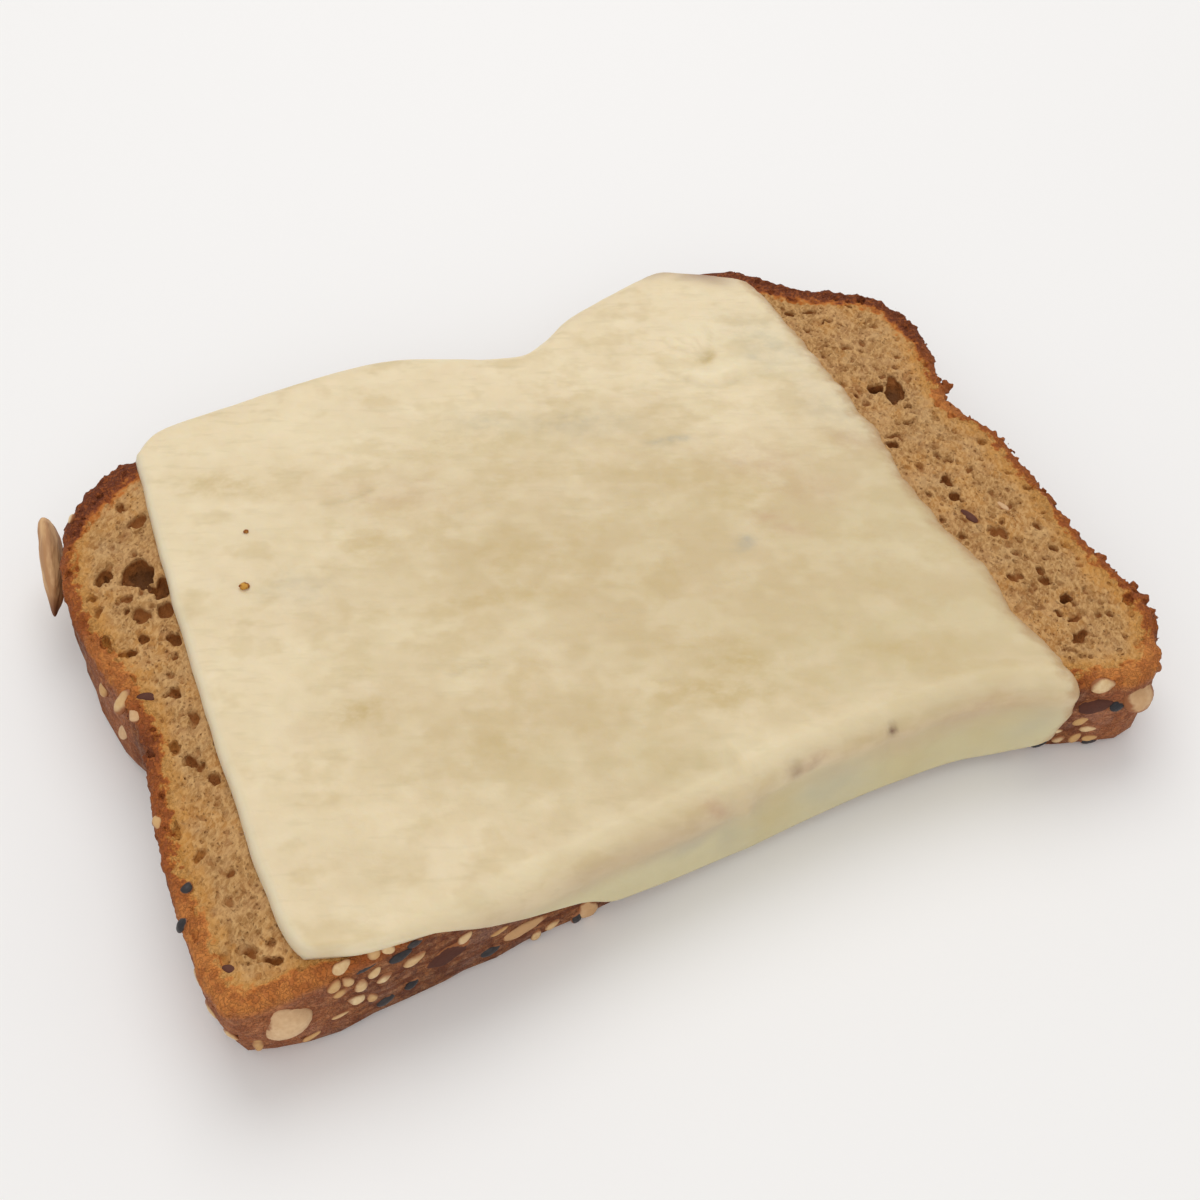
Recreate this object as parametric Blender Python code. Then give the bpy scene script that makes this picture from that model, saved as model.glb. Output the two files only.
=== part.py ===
# Cheese toast: a slice of seeded bread lying flat, with a soft square slice of cheese
# over its middle that folds down over the front edge. Sizes are in millimetres until
# the meshes are made; +X runs along the loaf's width, +Y towards the domed top crust,
# and z = 0 is the flat underside.
import math
import random

import bmesh
import bpy
import numpy as np
from mathutils import Matrix, Vector

MM = 0.001
SEED = 24
SLIVER = 0.03
# From the middle of the places below to the middle of the finished part
TO_CENTRE = (-1.34, 0.09, 0.0)

# Bread slice
BREAD_THICK = 14.0
RIM_ROUND = 2.0
BARE_RIM_ROUND = 0.8
FOOT_ROUND = 1.6
WALL_STEPS = 4
LOOP_COUNT = 168
CRAG_DEPTH = 0.45
CRUMB_RELIEF = 0.22
FACE_RINGS = (4.6, 7.4, 10.6, 14.4)

# Outline of the slice, anticlockwise from the front left corner. The third value is
# how far the top edge stands in from the foot of the crust.
OUTLINE = (
    (-59.6, -44.6, 0.2),
    (-50.0, -44.9, 0.0),
    (-36.0, -44.1, 0.3),
    (-20.0, -43.3, 0.9),
    (-6.0, -42.5, 1.0),
    (8.0, -41.8, 1.0),
    (22.0, -41.6, 1.0),
    (34.0, -42.3, 1.0),
    (41.0, -43.6, 0.8),
    (49.0, -46.7, 0.4),
    (55.5, -48.9, 0.0),
    (59.8, -48.2, 0.0),
    (62.8, -44.4, 0.0),
    (65.5, -38.8, 0.0),
    (65.0, -26.0, 0.0),
    (65.8, -13.0, 0.0),
    (65.9, -3.0, 0.0),
    (63.8, 5.0, 0.0),
    (65.0, 9.4, 0.0),
    (67.4, 16.5, 0.0),
    (68.5, 22.6, 0.0),
    (67.4, 28.8, 0.0),
    (63.9, 33.6, 0.0),
    (57.0, 37.9, 0.0),
    (52.2, 43.4, 0.0),
    (48.0, 47.8, 0.0),
    (39.6, 49.6, 0.0),
    (29.0, 47.4, 0.0),
    (20.0, 44.7, 0.0),
    (14.4, 41.2, 0.0),
    (9.6, 39.4, 0.0),
    (3.2, 41.1, 0.0),
    (-9.0, 46.5, 0.0),
    (-18.0, 48.0, 0.0),
    (-33.0, 47.5, 0.0),
    (-45.0, 46.6, 0.0),
    (-53.2, 43.2, 0.0),
    (-60.2, 37.8, 0.0),
    (-63.8, 30.6, 0.2),
    (-65.3, 21.0, 0.8),
    (-64.9, 11.4, 1.6),
    (-63.7, 3.6, 2.3),
    (-61.8, -2.6, 1.2),
    (-62.2, -12.0, 1.0),
    (-63.2, -22.0, 1.0),
    (-63.0, -33.0, 0.9),
    (-62.2, -40.6, 0.5),
)

# The line inside the slice that every inset runs towards
SPINE_LEFT = (-32.0, 1.0)
SPINE_RIGHT = (34.0, 1.0)
# Outline points at least this far from the middle line belong to the front or back edge
SIDE_FROM_MIDDLE = 30.0

# Cheese slice. Along the cheese, s is y on the flat top and goes on past each fold.
CHEESE_THICK = 2.0
CHEESE_GAP = 0.35
CHEESE_EDGE = 1.2
CHEESE_EDGE_SHARE = 0.35
CHEESE_LEFT = ((50.0, -49.6), (43.0, -50.0), (18.0, -51.5), (-4.0, -52.3), (-30.0, -52.6), (-46.0, -51.9))
CHEESE_RIGHT = (
    (49.0, 44.6),
    (45.0, 46.6),
    (41.0, 48.6),
    (36.0, 49.8),
    (18.0, 49.9),
    (2.0, 49.7),
    (-5.5, 48.2),
    (-18.0, 48.0),
    (-24.5, 49.2),
    (-34.0, 47.6),
    (-40.0, 48.9),
    (-46.0, 48.7),
    (-52.0, 48.0),
    (-58.0, 46.2),
)
BACK_REACH = ((-53.0, 0.2), (-50.5, 1.8), (-47.0, 3.0), (36.0, 3.0), (42.0, 0.2), (48.0, -4.0), (50.0, -5.2))
FRONT_REACH = (
    (-53.0, 0.5),
    (-48.0, 0.9),
    (-39.0, 2.0),
    (-35.0, 3.0),
    (-29.0, 6.0),
    (-21.0, 8.6),
    (-17.0, 11.8),
    (-8.0, 13.2),
    (4.0, 14.2),
    (27.0, 13.5),
    (41.0, 13.0),
    (47.0, 11.0),
    (50.0, 9.0),
)
SIDE_STEPS = (0.0, 0.006, 0.018)
MIDDLE_SPAN = (0.045, 0.955)
ACROSS_STEPS = 28
BACK_STEPS = (1.0, 0.7, 0.4)
FLAT_STEPS = 22
FRONT_STEPS = (0.06, 0.13, 0.2, 0.28, 0.4, 0.55, 0.7, 0.85, 0.95, 1.0)
# How much of the crust's lean the draped front follows, and how it slopes back as it hangs
LEAN_SHARE = 0.75
HANG_SLOPE = 0.05

# Holes in the cut face: x, y, length, width, turn in degrees, depth
EYES = (
    (-54.1, 21.6, 5.6, 3.8, 75, 3.0),
    (-53.9, 14.6, 3.4, 1.6, 60, 2.0),
    (-58.7, 23.3, 2.4, 1.8, 80, 1.8),
    (-56.6, 31.0, 4.0, 1.6, 30, 1.2),
    (54.7, 12.9, 3.4, 1.8, 20, 1.6),
    (54.7, 9.2, 3.4, 2.0, 60, 1.8),
    (59.1, 12.0, 2.6, 1.6, 60, 1.4),
    (51.9, 1.2, 2.4, 1.6, 110, 1.6),
    (54.4, -7.8, 2.0, 1.3, 60, 1.6),
    (52.9, -10.8, 1.8, 1.4, 50, 1.6),
    (56.5, -32.5, 4.2, 1.8, 15, 1.6),
    (59.2, 19.4, 3.6, 1.7, 10, 1.2),
    (-59.8, -36.6, 3.2, 1.5, 140, 1.4),
)
PORE_COUNT = 44
PORE_SIZES = (1.3, 2.3)
PORE_SINK = 0.25

# Seeds: length, width, thickness, and how deep each sits in the crust
SEED_KINDS = {
    "kernel": (7.4, 5.4, 2.8, 0.38),
    "chip": (4.8, 3.2, 2.0, 0.45),
    "sesame": (3.3, 2.2, 1.6, 0.5),
    "dark": (3.2, 2.3, 1.6, 0.5),
}
# Seeds that stand out on the crust: kind, x, y, z, turn in degrees from upright
SHOWN_SEEDS = (
    ("kernel", -54.8, -45.0, 8.9, 60),
    ("kernel", -35.6, -44.0, 6.5, 80),
    ("kernel", 58.0, -48.9, 9.2, 8),
    ("chip", -25.9, -43.6, 4.6, 86),
    ("chip", -39.7, -44.3, 9.0, 70),
    ("sesame", -48.6, -44.8, 11.4, 60),
    ("sesame", -45.8, -44.7, 9.2, 80),
    ("sesame", -47.2, -44.7, 6.4, 40),
    ("sesame", -43.2, -44.5, 8.0, 30),
    ("sesame", -49.6, -44.9, 4.8, 50),
    ("sesame", -33.2, -43.9, 9.4, 75),
    ("sesame", -29.1, -43.7, 6.0, 45),
    ("sesame", -17.9, -43.2, 1.9, 20),
    ("dark", -43.9, -44.6, 11.4, 75),
    ("dark", -40.6, -44.3, 3.8, 70),
    ("dark", -30.5, -43.8, 2.4, 80),
    ("sesame", 51.9, -47.7, 12.2, 80),
    ("sesame", 50.9, -47.3, 5.9, 60),
    ("sesame", 52.3, -48.0, 3.7, 86),
    ("sesame", 49.4, -46.8, 2.1, 15),
    ("sesame", 46.1, -45.5, 2.0, 80),
    ("dark", 54.7, -48.7, 8.6, 80),
    ("sesame", -60.4, 36.9, 12.0, 50),
    ("sesame", -63.0, 4.6, 11.4, 30),
    ("sesame", -62.6, 0.2, 9.4, 60),
    ("dark", -62.6, -27.4, 11.6, 30),
    ("dark", -62.8, -32.4, 11.0, 10),
)
SCATTER = (("kernel", 3), ("chip", 6), ("dark", 12), ("sesame", 22))
SEED_HEIGHTS = (2.4, 11.4)
SEED_CLEAR = 0.9
FLOOR_CLEAR = 0.3
# Where a scattered seed isn't free to go: the front crust has only the seeds above, the
# left one only small seeds, and the back one only seeds below the fold of the cheese.
FRONT_CRUST = -38.0
FRONT_SPAN = (-59.0, 62.0)
LEFT_CRUST = -52.0
SMALL_SEED = 3.5
BACK_CRUST = 30.0
BACK_SPAN = (-53.5, 51.0)
BACK_FOLD_DROP = 3.6

# The big flat seed stuck on its edge to the left shoulder
FLAT_SEED_SIZE = (19.6, 4.6, 7.0)
FLAT_SEED_PLACE = (-64.8, 33.0, 8.6)
FLAT_SEED_TURN = 81.5
FLAT_SEED_TAPER = 0.5

COLOURS = {
    "bread_slice": ((0.40, 0.20, 0.075, 1.0), 0.85),
    "cheese_slice": ((0.79, 0.66, 0.40, 1.0), 0.42),
}


def clear_scene():
    for obj in list(bpy.data.objects):
        bpy.data.objects.remove(obj, do_unlink=True)


def new_collection(name):
    collection = bpy.data.collections.new(name)
    bpy.context.scene.collection.children.link(collection)
    return collection


def add_object(name, bm, collection):
    bmesh.ops.recalc_face_normals(bm, faces=bm.faces)
    mesh = bpy.data.meshes.new(name)
    bm.to_mesh(mesh)
    bm.free()
    obj = bpy.data.objects.new(name, mesh)
    collection.objects.link(obj)
    return obj


def give_material(obj):
    colour, roughness = COLOURS[obj.name]
    material = bpy.data.materials.new(obj.name)
    material.use_nodes = True
    shader = material.node_tree.nodes["Principled BSDF"]
    shader.inputs["Base Color"].default_value = colour
    shader.inputs["Roughness"].default_value = roughness
    obj.data.materials.append(material)
    obj.data.shade_smooth()
    obj.data.set_sharp_from_angle(angle=math.radians(40))


def smooth_loop(points, count):
    """Evenly spaced samples of the closed smooth curve through the points."""
    rows = np.array(points, float)
    before, here, after, beyond = (np.roll(rows, shift, axis=0)[:, None, :] for shift in (1, 0, -1, -2))
    t = np.linspace(0.0, 1.0, 24, endpoint=False)[None, :, None]
    dense = 0.5 * (
        2 * here
        + (after - before) * t
        + (2 * before - 5 * here + 4 * after - beyond) * t**2
        + (3 * here - before - 3 * after + beyond) * t**3
    )
    dense = dense.reshape(-1, rows.shape[1])
    closed = np.vstack([dense, dense[:1]])
    steps = np.linalg.norm(np.diff(closed[:, :2], axis=0), axis=1)
    run = np.concatenate([[0.0], np.cumsum(steps)])
    places = np.linspace(0.0, run[-1], count, endpoint=False)
    return np.stack([np.interp(places, run, closed[:, k]) for k in range(rows.shape[1])], axis=1)


def lookup(table, value):
    """Straight-line reading of a table of pairs, in either order."""
    pairs = sorted(table)
    return np.interp(value, [pair[0] for pair in pairs], [pair[1] for pair in pairs])


def inward_directions(loop):
    """Unit vectors from each point of the outline to the nearest point of the spine."""
    along = np.clip(loop[:, 0], SPINE_LEFT[0], SPINE_RIGHT[0])
    towards = np.stack([along, np.full(len(loop), SPINE_LEFT[1])], axis=1) - loop[:, :2]
    return towards / np.linalg.norm(towards, axis=1)[:, None]


def wall_table(loop, front, step=1.6):
    """(x, y) along the front or the back edge, pushed out a little so that chords stay clear."""
    side = loop[loop[:, 1] * (-1 if front else 1) > SIDE_FROM_MIDDLE]
    xs = np.linspace(side[:, 0].min(), side[:, 0].max(), 160)
    order = np.argsort(side[:, 0])
    ys = np.interp(xs, side[order, 0], side[order, 1])
    outermost = np.min if front else np.max
    ys = np.array([outermost(ys[np.abs(xs - x) <= step]) for x in xs])
    return xs, ys


def covered(x, y):
    """1 where the cheese lies over the slice, 0 well clear of it, ramping over 1.5 mm."""
    left = lookup(CHEESE_LEFT, y) - 0.8
    right = lookup(CHEESE_RIGHT, y) + 0.8
    return np.clip(np.minimum(x - left, right - x) / 1.5 + 1.0, 0.0, 1.0)


def wall_rows(rim):
    """(inset, z) from the underside's edge, up the crust and over a rim of these radii."""
    rows = []
    for angle in (0, 30, 60, 90):
        a = math.radians(angle)
        rows.append((FOOT_ROUND * (1 - math.sin(a)), FOOT_ROUND * (1 - math.cos(a))))
    low, high = FOOT_ROUND, BREAD_THICK - rim
    for step in range(1, WALL_STEPS):
        rows.append((0.0, low + (high - low) * step / WALL_STEPS))
    for angle in (0, 30, 60, 90):
        a = math.radians(angle)
        rows.append((rim * (1 - math.cos(a)), high + rim * math.sin(a)))
    return [(np.broadcast_to(inset, rim.shape), np.broadcast_to(z, rim.shape)) for inset, z in rows]


def make_slab(loop, collection):
    """The slice itself: rings up the crust, rings in over the cut face, and two flat middles."""
    draw = np.random.default_rng(SEED)
    inward = inward_directions(loop)
    bare = 1.0 - covered(loop[:, 0], loop[:, 1])
    rim = RIM_ROUND + (BARE_RIM_ROUND - RIM_ROUND) * bare
    rings = []
    for inset, z in wall_rows(rim):
        share = z / BREAD_THICK
        crag = draw.normal(0.0, CRAG_DEPTH, len(loop)) * bare * (z > FOOT_ROUND / 2)
        reach = (inset + loop[:, 2] * share + np.clip(crag, -0.3, 0.35))[:, None]
        flat = loop[:, :2] + inward * reach
        rings.append(np.column_stack([flat, z]))
    for inset in FACE_RINGS:
        flat = loop[:, :2] + inward * (inset + loop[:, 2])[:, None]
        open_here = 1.0 - covered(flat[:, 0], flat[:, 1])
        lift = np.clip(draw.normal(-0.1, CRUMB_RELIEF, len(loop)), -0.5, 0.2) * open_here
        rings.append(np.column_stack([flat, BREAD_THICK + lift]))
    bm = bmesh.new()
    rows = [[bm.verts.new(Vector(point) * MM) for point in ring] for ring in rings]
    for low, high in zip(rows, rows[1:]):
        for k in range(len(low)):
            n = (k + 1) % len(low)
            bm.faces.new((low[k], low[n], high[n], high[k]))
    bm.faces.new(rows[0][::-1])
    bm.faces.new(rows[-1])
    bmesh.ops.triangulate(bm, faces=bm.faces)
    return add_object("bread_slice", bm, collection)


def add_blob(place, size, turn, collection, around=8, rings=5, taper=0.0):
    """An ellipsoid of the given size, turned by a rotation matrix, thinner towards its -X end."""
    bm = bmesh.new()
    bmesh.ops.create_uvsphere(bm, u_segments=around, v_segments=rings, radius=0.5)
    for vert in bm.verts:
        narrow = 1.0 - taper * max(0.0, -2.0 * vert.co.x)
        vert.co.y *= narrow
        vert.co.z *= narrow
    scale = Matrix.Diagonal((size[0], size[1], size[2], 1.0))
    matrix = Matrix.Translation(Vector(place)) @ turn.to_4x4() @ scale
    bmesh.ops.transform(bm, matrix=Matrix.Scale(MM, 4) @ matrix, verts=bm.verts)
    blob = add_object("blob", bm, collection)
    blob.hide_render = True
    blob.display_type = "WIRE"
    return blob


def join_all(target, collection, operation):
    """One Boolean between the target and everything in the collection, applied."""
    modifier = target.modifiers.new("join", "BOOLEAN")
    modifier.operand_type = "COLLECTION"
    modifier.collection = collection
    modifier.operation = operation
    modifier.solver = "EXACT"
    bpy.context.view_layer.update()
    graph = bpy.context.evaluated_depsgraph_get()
    mesh = bpy.data.meshes.new_from_object(target.evaluated_get(graph))
    target.modifiers.clear()
    target.data = mesh
    bm = bmesh.new()
    bm.from_mesh(mesh)
    bmesh.ops.triangulate(bm, faces=bm.faces)
    bmesh.ops.remove_doubles(bm, verts=bm.verts, dist=SLIVER * MM)
    bmesh.ops.dissolve_degenerate(bm, dist=SLIVER * MM, edges=bm.edges)
    bmesh.ops.triangulate(bm, faces=bm.faces)
    bm.to_mesh(mesh)
    bm.free()
    for obj in list(collection.objects):
        bpy.data.objects.remove(obj, do_unlink=True)
    bpy.data.collections.remove(collection)


def inside_by(loop, inward, x, y):
    """How far a point is inside the outline, measured to the nearest outline sample."""
    offset = np.array([x, y]) - loop[:, :2]
    nearest = int(np.argmin(np.linalg.norm(offset, axis=1)))
    return float(np.dot(offset[nearest], inward[nearest]))


def cut_pores(bread, loop):
    """The larger holes of the crumb, and smaller ones scattered over the bare cut face."""
    draw = random.Random(SEED)
    inward = inward_directions(loop)
    taken = [(x, y, length / 2, length, width, turn, depth) for x, y, length, width, turn, depth in EYES]
    tries = 0
    while len(taken) < len(EYES) + PORE_COUNT and tries < 20000:
        tries += 1
        x, y = draw.uniform(-64, 68), draw.uniform(-48, 48)
        width = draw.uniform(*PORE_SIZES)
        length = width * draw.uniform(1.0, 1.6)
        reach = length / 2
        if inside_by(loop, inward, x, y) < 3.2 + reach:
            continue
        if covered(x - reach, y) > 0 or covered(x + reach, y) > 0:
            continue
        if any(math.hypot(x - other[0], y - other[1]) < reach + other[2] + 0.5 for other in taken):
            continue
        taken.append((x, y, reach, length, width, draw.uniform(0, 180), width * 0.6))
    hollows = new_collection("hollows")
    for x, y, _, length, width, angle, depth in taken:
        turn = Matrix.Rotation(math.radians(angle), 3, "Z")
        place = (x, y, BREAD_THICK - PORE_SINK + 0.1 * depth)
        add_blob(place, (length, width, 2 * depth), turn, hollows, around=7, rings=4)
    join_all(bread, hollows, "DIFFERENCE")


def wall_frame(loop, inward, x, y, z):
    """The crust's point nearest to (x, y) at height z, and its outward and sideways directions."""
    nearest = int(np.argmin(np.hypot(loop[:, 0] - x, loop[:, 1] - y)))
    ahead = loop[(nearest + 1) % len(loop), :2] - loop[nearest - 1, :2]
    ahead = ahead / np.linalg.norm(ahead)
    outward = np.array([ahead[1], -ahead[0]])
    flat = loop[nearest, :2] + inward[nearest] * loop[nearest, 2] * z / BREAD_THICK
    point = np.array([flat[0], flat[1], z])
    return point, Vector((*outward, 0.0)), Vector((*ahead, 0.0))


def seed_fits(kind, x, y, z):
    """True where a scattered seed stays clear of the floor, the cheese and the front crust."""
    length = SEED_KINDS[kind][0]
    reach = length / 2 + SEED_CLEAR
    if z - length / 2 < FLOOR_CLEAR:
        return False
    if y < FRONT_CRUST and FRONT_SPAN[0] < x < FRONT_SPAN[1]:
        return False
    if x < LEFT_CRUST and length > SMALL_SEED:
        return False
    if y > BACK_CRUST and BACK_SPAN[0] - reach < x < BACK_SPAN[1] + reach:
        return z + reach < BREAD_THICK - BACK_FOLD_DROP
    return True


def fuse_seeds(bread, loop):
    """The seeds baked onto the crust: those that stand out, then a scatter all round."""
    draw = random.Random(SEED + 1)
    inward = inward_directions(loop)
    placed = list(SHOWN_SEEDS)
    for kind, count in SCATTER:
        added = 0
        tries = 0
        while added < count and tries < 4000:
            tries += 1
            row = loop[draw.randrange(len(loop))]
            x, y = row[0], row[1]
            z = draw.uniform(*SEED_HEIGHTS)
            room = SEED_KINDS[kind][0] / 2 + 0.4
            if not seed_fits(kind, x, y, z):
                continue
            if any(math.dist((x, y, z), other[1:4]) < room + SEED_KINDS[other[0]][0] / 2 for other in placed):
                continue
            placed.append((kind, x, y, z, draw.uniform(0, 180)))
            added += 1
    seeds = new_collection("seeds")
    for kind, x, y, z, angle in placed:
        length, width, thick, sink = SEED_KINDS[kind]
        point, outward, ahead = wall_frame(loop, inward, x, y, z)
        upright = outward.cross(ahead)
        frame = Matrix((upright, upright.cross(-outward), -outward)).transposed()
        spin = Matrix.Rotation(math.radians(angle), 3, "Z")
        place = Vector(point) + outward * thick * (0.5 - sink)
        add_blob(place, (length, width, thick), frame @ spin, seeds, around=8, rings=4)
    turn = Matrix.Rotation(math.radians(FLAT_SEED_TURN), 3, "Z")
    add_blob(FLAT_SEED_PLACE, FLAT_SEED_SIZE, turn, seeds, around=12, rings=8, taper=FLAT_SEED_TAPER)
    join_all(bread, seeds, "UNION")


def make_bread(collection):
    loop = smooth_loop(OUTLINE, LOOP_COUNT)
    bread = make_slab(loop, collection)
    cut_pores(bread, loop)
    fuse_seeds(bread, loop)
    give_material(bread)
    return bread


def cheese_path(x, s, front_wall, back_wall):
    """Point (y, z) and upward normal of the cheese's underside at x, s along the slice."""
    arc = RIM_ROUND + CHEESE_GAP
    quarter = arc * math.pi / 2
    centre_z = BREAD_THICK - RIM_ROUND
    fold_front = np.interp(x, *front_wall) + RIM_ROUND
    fold_back = np.interp(x, *back_wall) - RIM_ROUND
    if s > fold_back:
        angle = min((s - fold_back) / arc, math.pi / 2)
        normal = (math.sin(angle), math.cos(angle))
        return (fold_back + arc * normal[0], centre_z + arc * normal[1]), normal
    if s < fold_front:
        past = fold_front - s
        angle = min(past / arc, math.pi / 2)
        normal = (-math.sin(angle), math.cos(angle))
        drop = max(0.0, past - quarter)
        return (fold_front + arc * normal[0] - HANG_SLOPE * drop, centre_z + arc * normal[1] - drop), normal
    return (s, BREAD_THICK + CHEESE_GAP), (0.0, 1.0)


def lean_table(walls, loop):
    """The front edge as its top stands, inside the foot by most of the crust's lean."""
    xs, ys = walls
    side = loop[loop[:, 1] < -SIDE_FROM_MIDDLE]
    order = np.argsort(side[:, 0])
    lean = np.interp(xs, side[order, 0], side[order, 2])
    return xs, ys + lean * LEAN_SHARE


def stations(x, front_wall, back_wall):
    """Places along the cheese from its back edge to its front edge, closest at the folds."""
    fold_back = np.interp(x, *back_wall) - RIM_ROUND
    fold_front = np.interp(x, *front_wall) + RIM_ROUND
    back = lookup(BACK_REACH, x)
    front = lookup(FRONT_REACH, x)
    if back > 0:
        places = [fold_back + back * share for share in BACK_STEPS]
        flat_from = fold_back
    else:
        places = [fold_back + back - CHEESE_EDGE * (1.0 - share) for share in BACK_STEPS]
        flat_from = places[-1] - 1.0
    places += list(np.linspace(flat_from, fold_front, FLAT_STEPS))
    return places + [fold_front - front * share for share in FRONT_STEPS]


def thickness(to_edge):
    """The cheese's thickness this far from its nearest edge: full, then rounded off."""
    rim = min(to_edge, CHEESE_EDGE) / CHEESE_EDGE
    swell = math.sqrt(1.0 - (1.0 - rim) ** 2)
    return CHEESE_THICK * (CHEESE_EDGE_SHARE + (1.0 - CHEESE_EDGE_SHARE) * swell)


def cheese_grid():
    """Columns of (underside point, upper point), from the left edge to the right edge."""
    loop = smooth_loop(OUTLINE, 4 * LOOP_COUNT)
    front_wall = lean_table(wall_table(loop, front=True), loop)
    back_wall = wall_table(loop, front=False)
    middle = np.linspace(*MIDDLE_SPAN, ACROSS_STEPS)
    left, right = CHEESE_LEFT[3][1], CHEESE_RIGHT[3][1]
    grid = []
    for u in (*SIDE_STEPS, *middle, *(1.0 - step for step in reversed(SIDE_STEPS))):
        places = stations(left + (right - left) * u, front_wall, back_wall)
        to_side = min(u, 1.0 - u) * (right - left)
        column = []
        for s in places:
            x = lookup(CHEESE_LEFT, s) * (1 - u) + lookup(CHEESE_RIGHT, s) * u
            thick = thickness(min(to_side, abs(s - places[0]), abs(s - places[-1])))
            (y, z), (out, up) = cheese_path(x, s, front_wall, back_wall)
            column.append(((x, y, z), (x, y + out * thick, z + up * thick)))
        grid.append(column)
    return grid


def make_cheese(collection):
    grid = cheese_grid()
    bm = bmesh.new()
    under = [[bm.verts.new(Vector(pair[0]) * MM) for pair in column] for column in grid]
    over = [[bm.verts.new(Vector(pair[1]) * MM) for pair in column] for column in grid]
    count, depth = len(grid), len(grid[0])
    for i in range(count - 1):
        for j in range(depth - 1):
            bm.faces.new((over[i][j], over[i + 1][j], over[i + 1][j + 1], over[i][j + 1]))
            bm.faces.new((under[i][j + 1], under[i + 1][j + 1], under[i + 1][j], under[i][j]))
    border = [(i, 0) for i in range(count)] + [(count - 1, j) for j in range(1, depth)]
    border += [(i, depth - 1) for i in range(count - 2, -1, -1)] + [(0, j) for j in range(depth - 2, 0, -1)]
    for (i, j), (m, n) in zip(border, border[1:] + border[:1]):
        bm.faces.new((over[i][j], under[i][j], under[m][n], over[m][n]))
    bmesh.ops.triangulate(bm, faces=bm.faces)
    cheese = add_object("cheese_slice", bm, collection)
    give_material(cheese)
    return cheese


def main():
    clear_scene()
    parts = new_collection("cheese_toast")
    for obj in (make_bread(parts), make_cheese(parts)):
        obj.data.transform(Matrix.Translation(Vector(TO_CENTRE) * MM))


main()
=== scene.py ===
import itertools
import math
import random

import bmesh
import bpy
import numpy as np
import openvdb
from mathutils import Euler, Matrix, Vector
from mathutils.bvhtree import BVHTree
from mathutils.kdtree import KDTree


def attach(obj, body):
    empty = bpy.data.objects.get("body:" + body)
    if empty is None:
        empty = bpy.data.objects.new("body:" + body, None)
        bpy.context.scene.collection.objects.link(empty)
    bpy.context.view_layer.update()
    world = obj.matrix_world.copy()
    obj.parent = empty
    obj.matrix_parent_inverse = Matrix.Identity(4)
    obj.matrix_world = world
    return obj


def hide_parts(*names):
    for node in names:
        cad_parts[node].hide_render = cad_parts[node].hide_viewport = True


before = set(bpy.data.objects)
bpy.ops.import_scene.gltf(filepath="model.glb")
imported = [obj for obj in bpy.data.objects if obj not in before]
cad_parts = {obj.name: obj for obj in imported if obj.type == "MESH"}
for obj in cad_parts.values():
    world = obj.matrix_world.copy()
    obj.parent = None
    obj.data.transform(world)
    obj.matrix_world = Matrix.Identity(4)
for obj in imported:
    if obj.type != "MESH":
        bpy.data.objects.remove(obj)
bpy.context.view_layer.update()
print("frame loaded:", sorted(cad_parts))

# Shapes are worked out in millimetres round the middle of the slice, and each
# mesh is moved by toCentre and turned into metres when it is made.
mm = 0.001
toCentre = np.array((-1.34, 0.09, 0.0))
noiseSpan = 32  # the noise repeats after this many cells


def smoothLoop(points, count):
    # evenly spaced samples of the closed smooth curve through the points
    rows = np.array(points, float)
    before, here, after, beyond = (np.roll(rows, shift, axis=0)[:, None, :] for shift in (1, 0, -1, -2))
    t = np.linspace(0.0, 1.0, 24, endpoint=False)[None, :, None]
    dense = 0.5 * (
        2 * here
        + (after - before) * t
        + (2 * before - 5 * here + 4 * after - beyond) * t**2
        + (3 * here - before - 3 * after + beyond) * t**3
    )
    dense = dense.reshape(-1, rows.shape[1])
    closed = np.vstack([dense, dense[:1]])
    steps = np.linalg.norm(np.diff(closed[:, :2], axis=0), axis=1)
    run = np.concatenate([[0.0], np.cumsum(steps)])
    places = np.linspace(0.0, run[-1], count, endpoint=False)
    return np.stack([np.interp(places, run, closed[:, k]) for k in range(rows.shape[1])], axis=1)


def softTable(pairs, blur=2.0):
    # a table of pairs as a curve with its corners rounded over about blur mm
    ordered = sorted(pairs)
    xs = np.arange(ordered[0][0] - 12.0, ordered[-1][0] + 12.0, 0.25)
    ys = np.interp(xs, [p[0] for p in ordered], [p[1] for p in ordered])
    width = int(blur / 0.25) | 1
    for _ in range(3):
        padded = np.pad(ys, width // 2, mode="edge")
        ys = np.convolve(padded, np.ones(width) / width, mode="valid")
    return xs, ys


def ramp(value, low, high):
    t = np.clip((value - low) / (high - low), 0.0, 1.0)
    return t * t * (3 - 2 * t)


def smoothNoise(points, cell, seed):
    # soft lumps between about -1 and 1, one for each cell; it repeats every noiseSpan cells
    draw = np.random.default_rng(seed)
    arrows = draw.normal(size=(noiseSpan, noiseSpan, noiseSpan, 3)).astype(np.float32)
    arrows /= np.linalg.norm(arrows, axis=-1, keepdims=True)
    place = np.asarray(points, np.float32) / np.asarray(cell, np.float32)
    corner = np.floor(place).astype(np.int32)
    part = place - corner
    fade = part**3 * (part * (part * 6 - 15) + 10)
    total = np.zeros(place.shape[:-1], np.float32)
    for offset in itertools.product((0, 1), repeat=3):
        at = (corner + np.array(offset, np.int32)) % noiseSpan
        arrow = arrows[at[..., 0], at[..., 1], at[..., 2]]
        weight = np.ones(place.shape[:-1], np.float32)
        for k in range(3):
            weight = weight * (fade[..., k] if offset[k] else 1 - fade[..., k])
        total += weight * ((part - np.array(offset, np.float32)) * arrow).sum(axis=-1)
    return total * 1.6


def layered(points, layers):
    # lumps of several sizes added up: amount, cell, seed
    return sum(amount * smoothNoise(points, cell, seed) for amount, cell, seed in layers)


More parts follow.
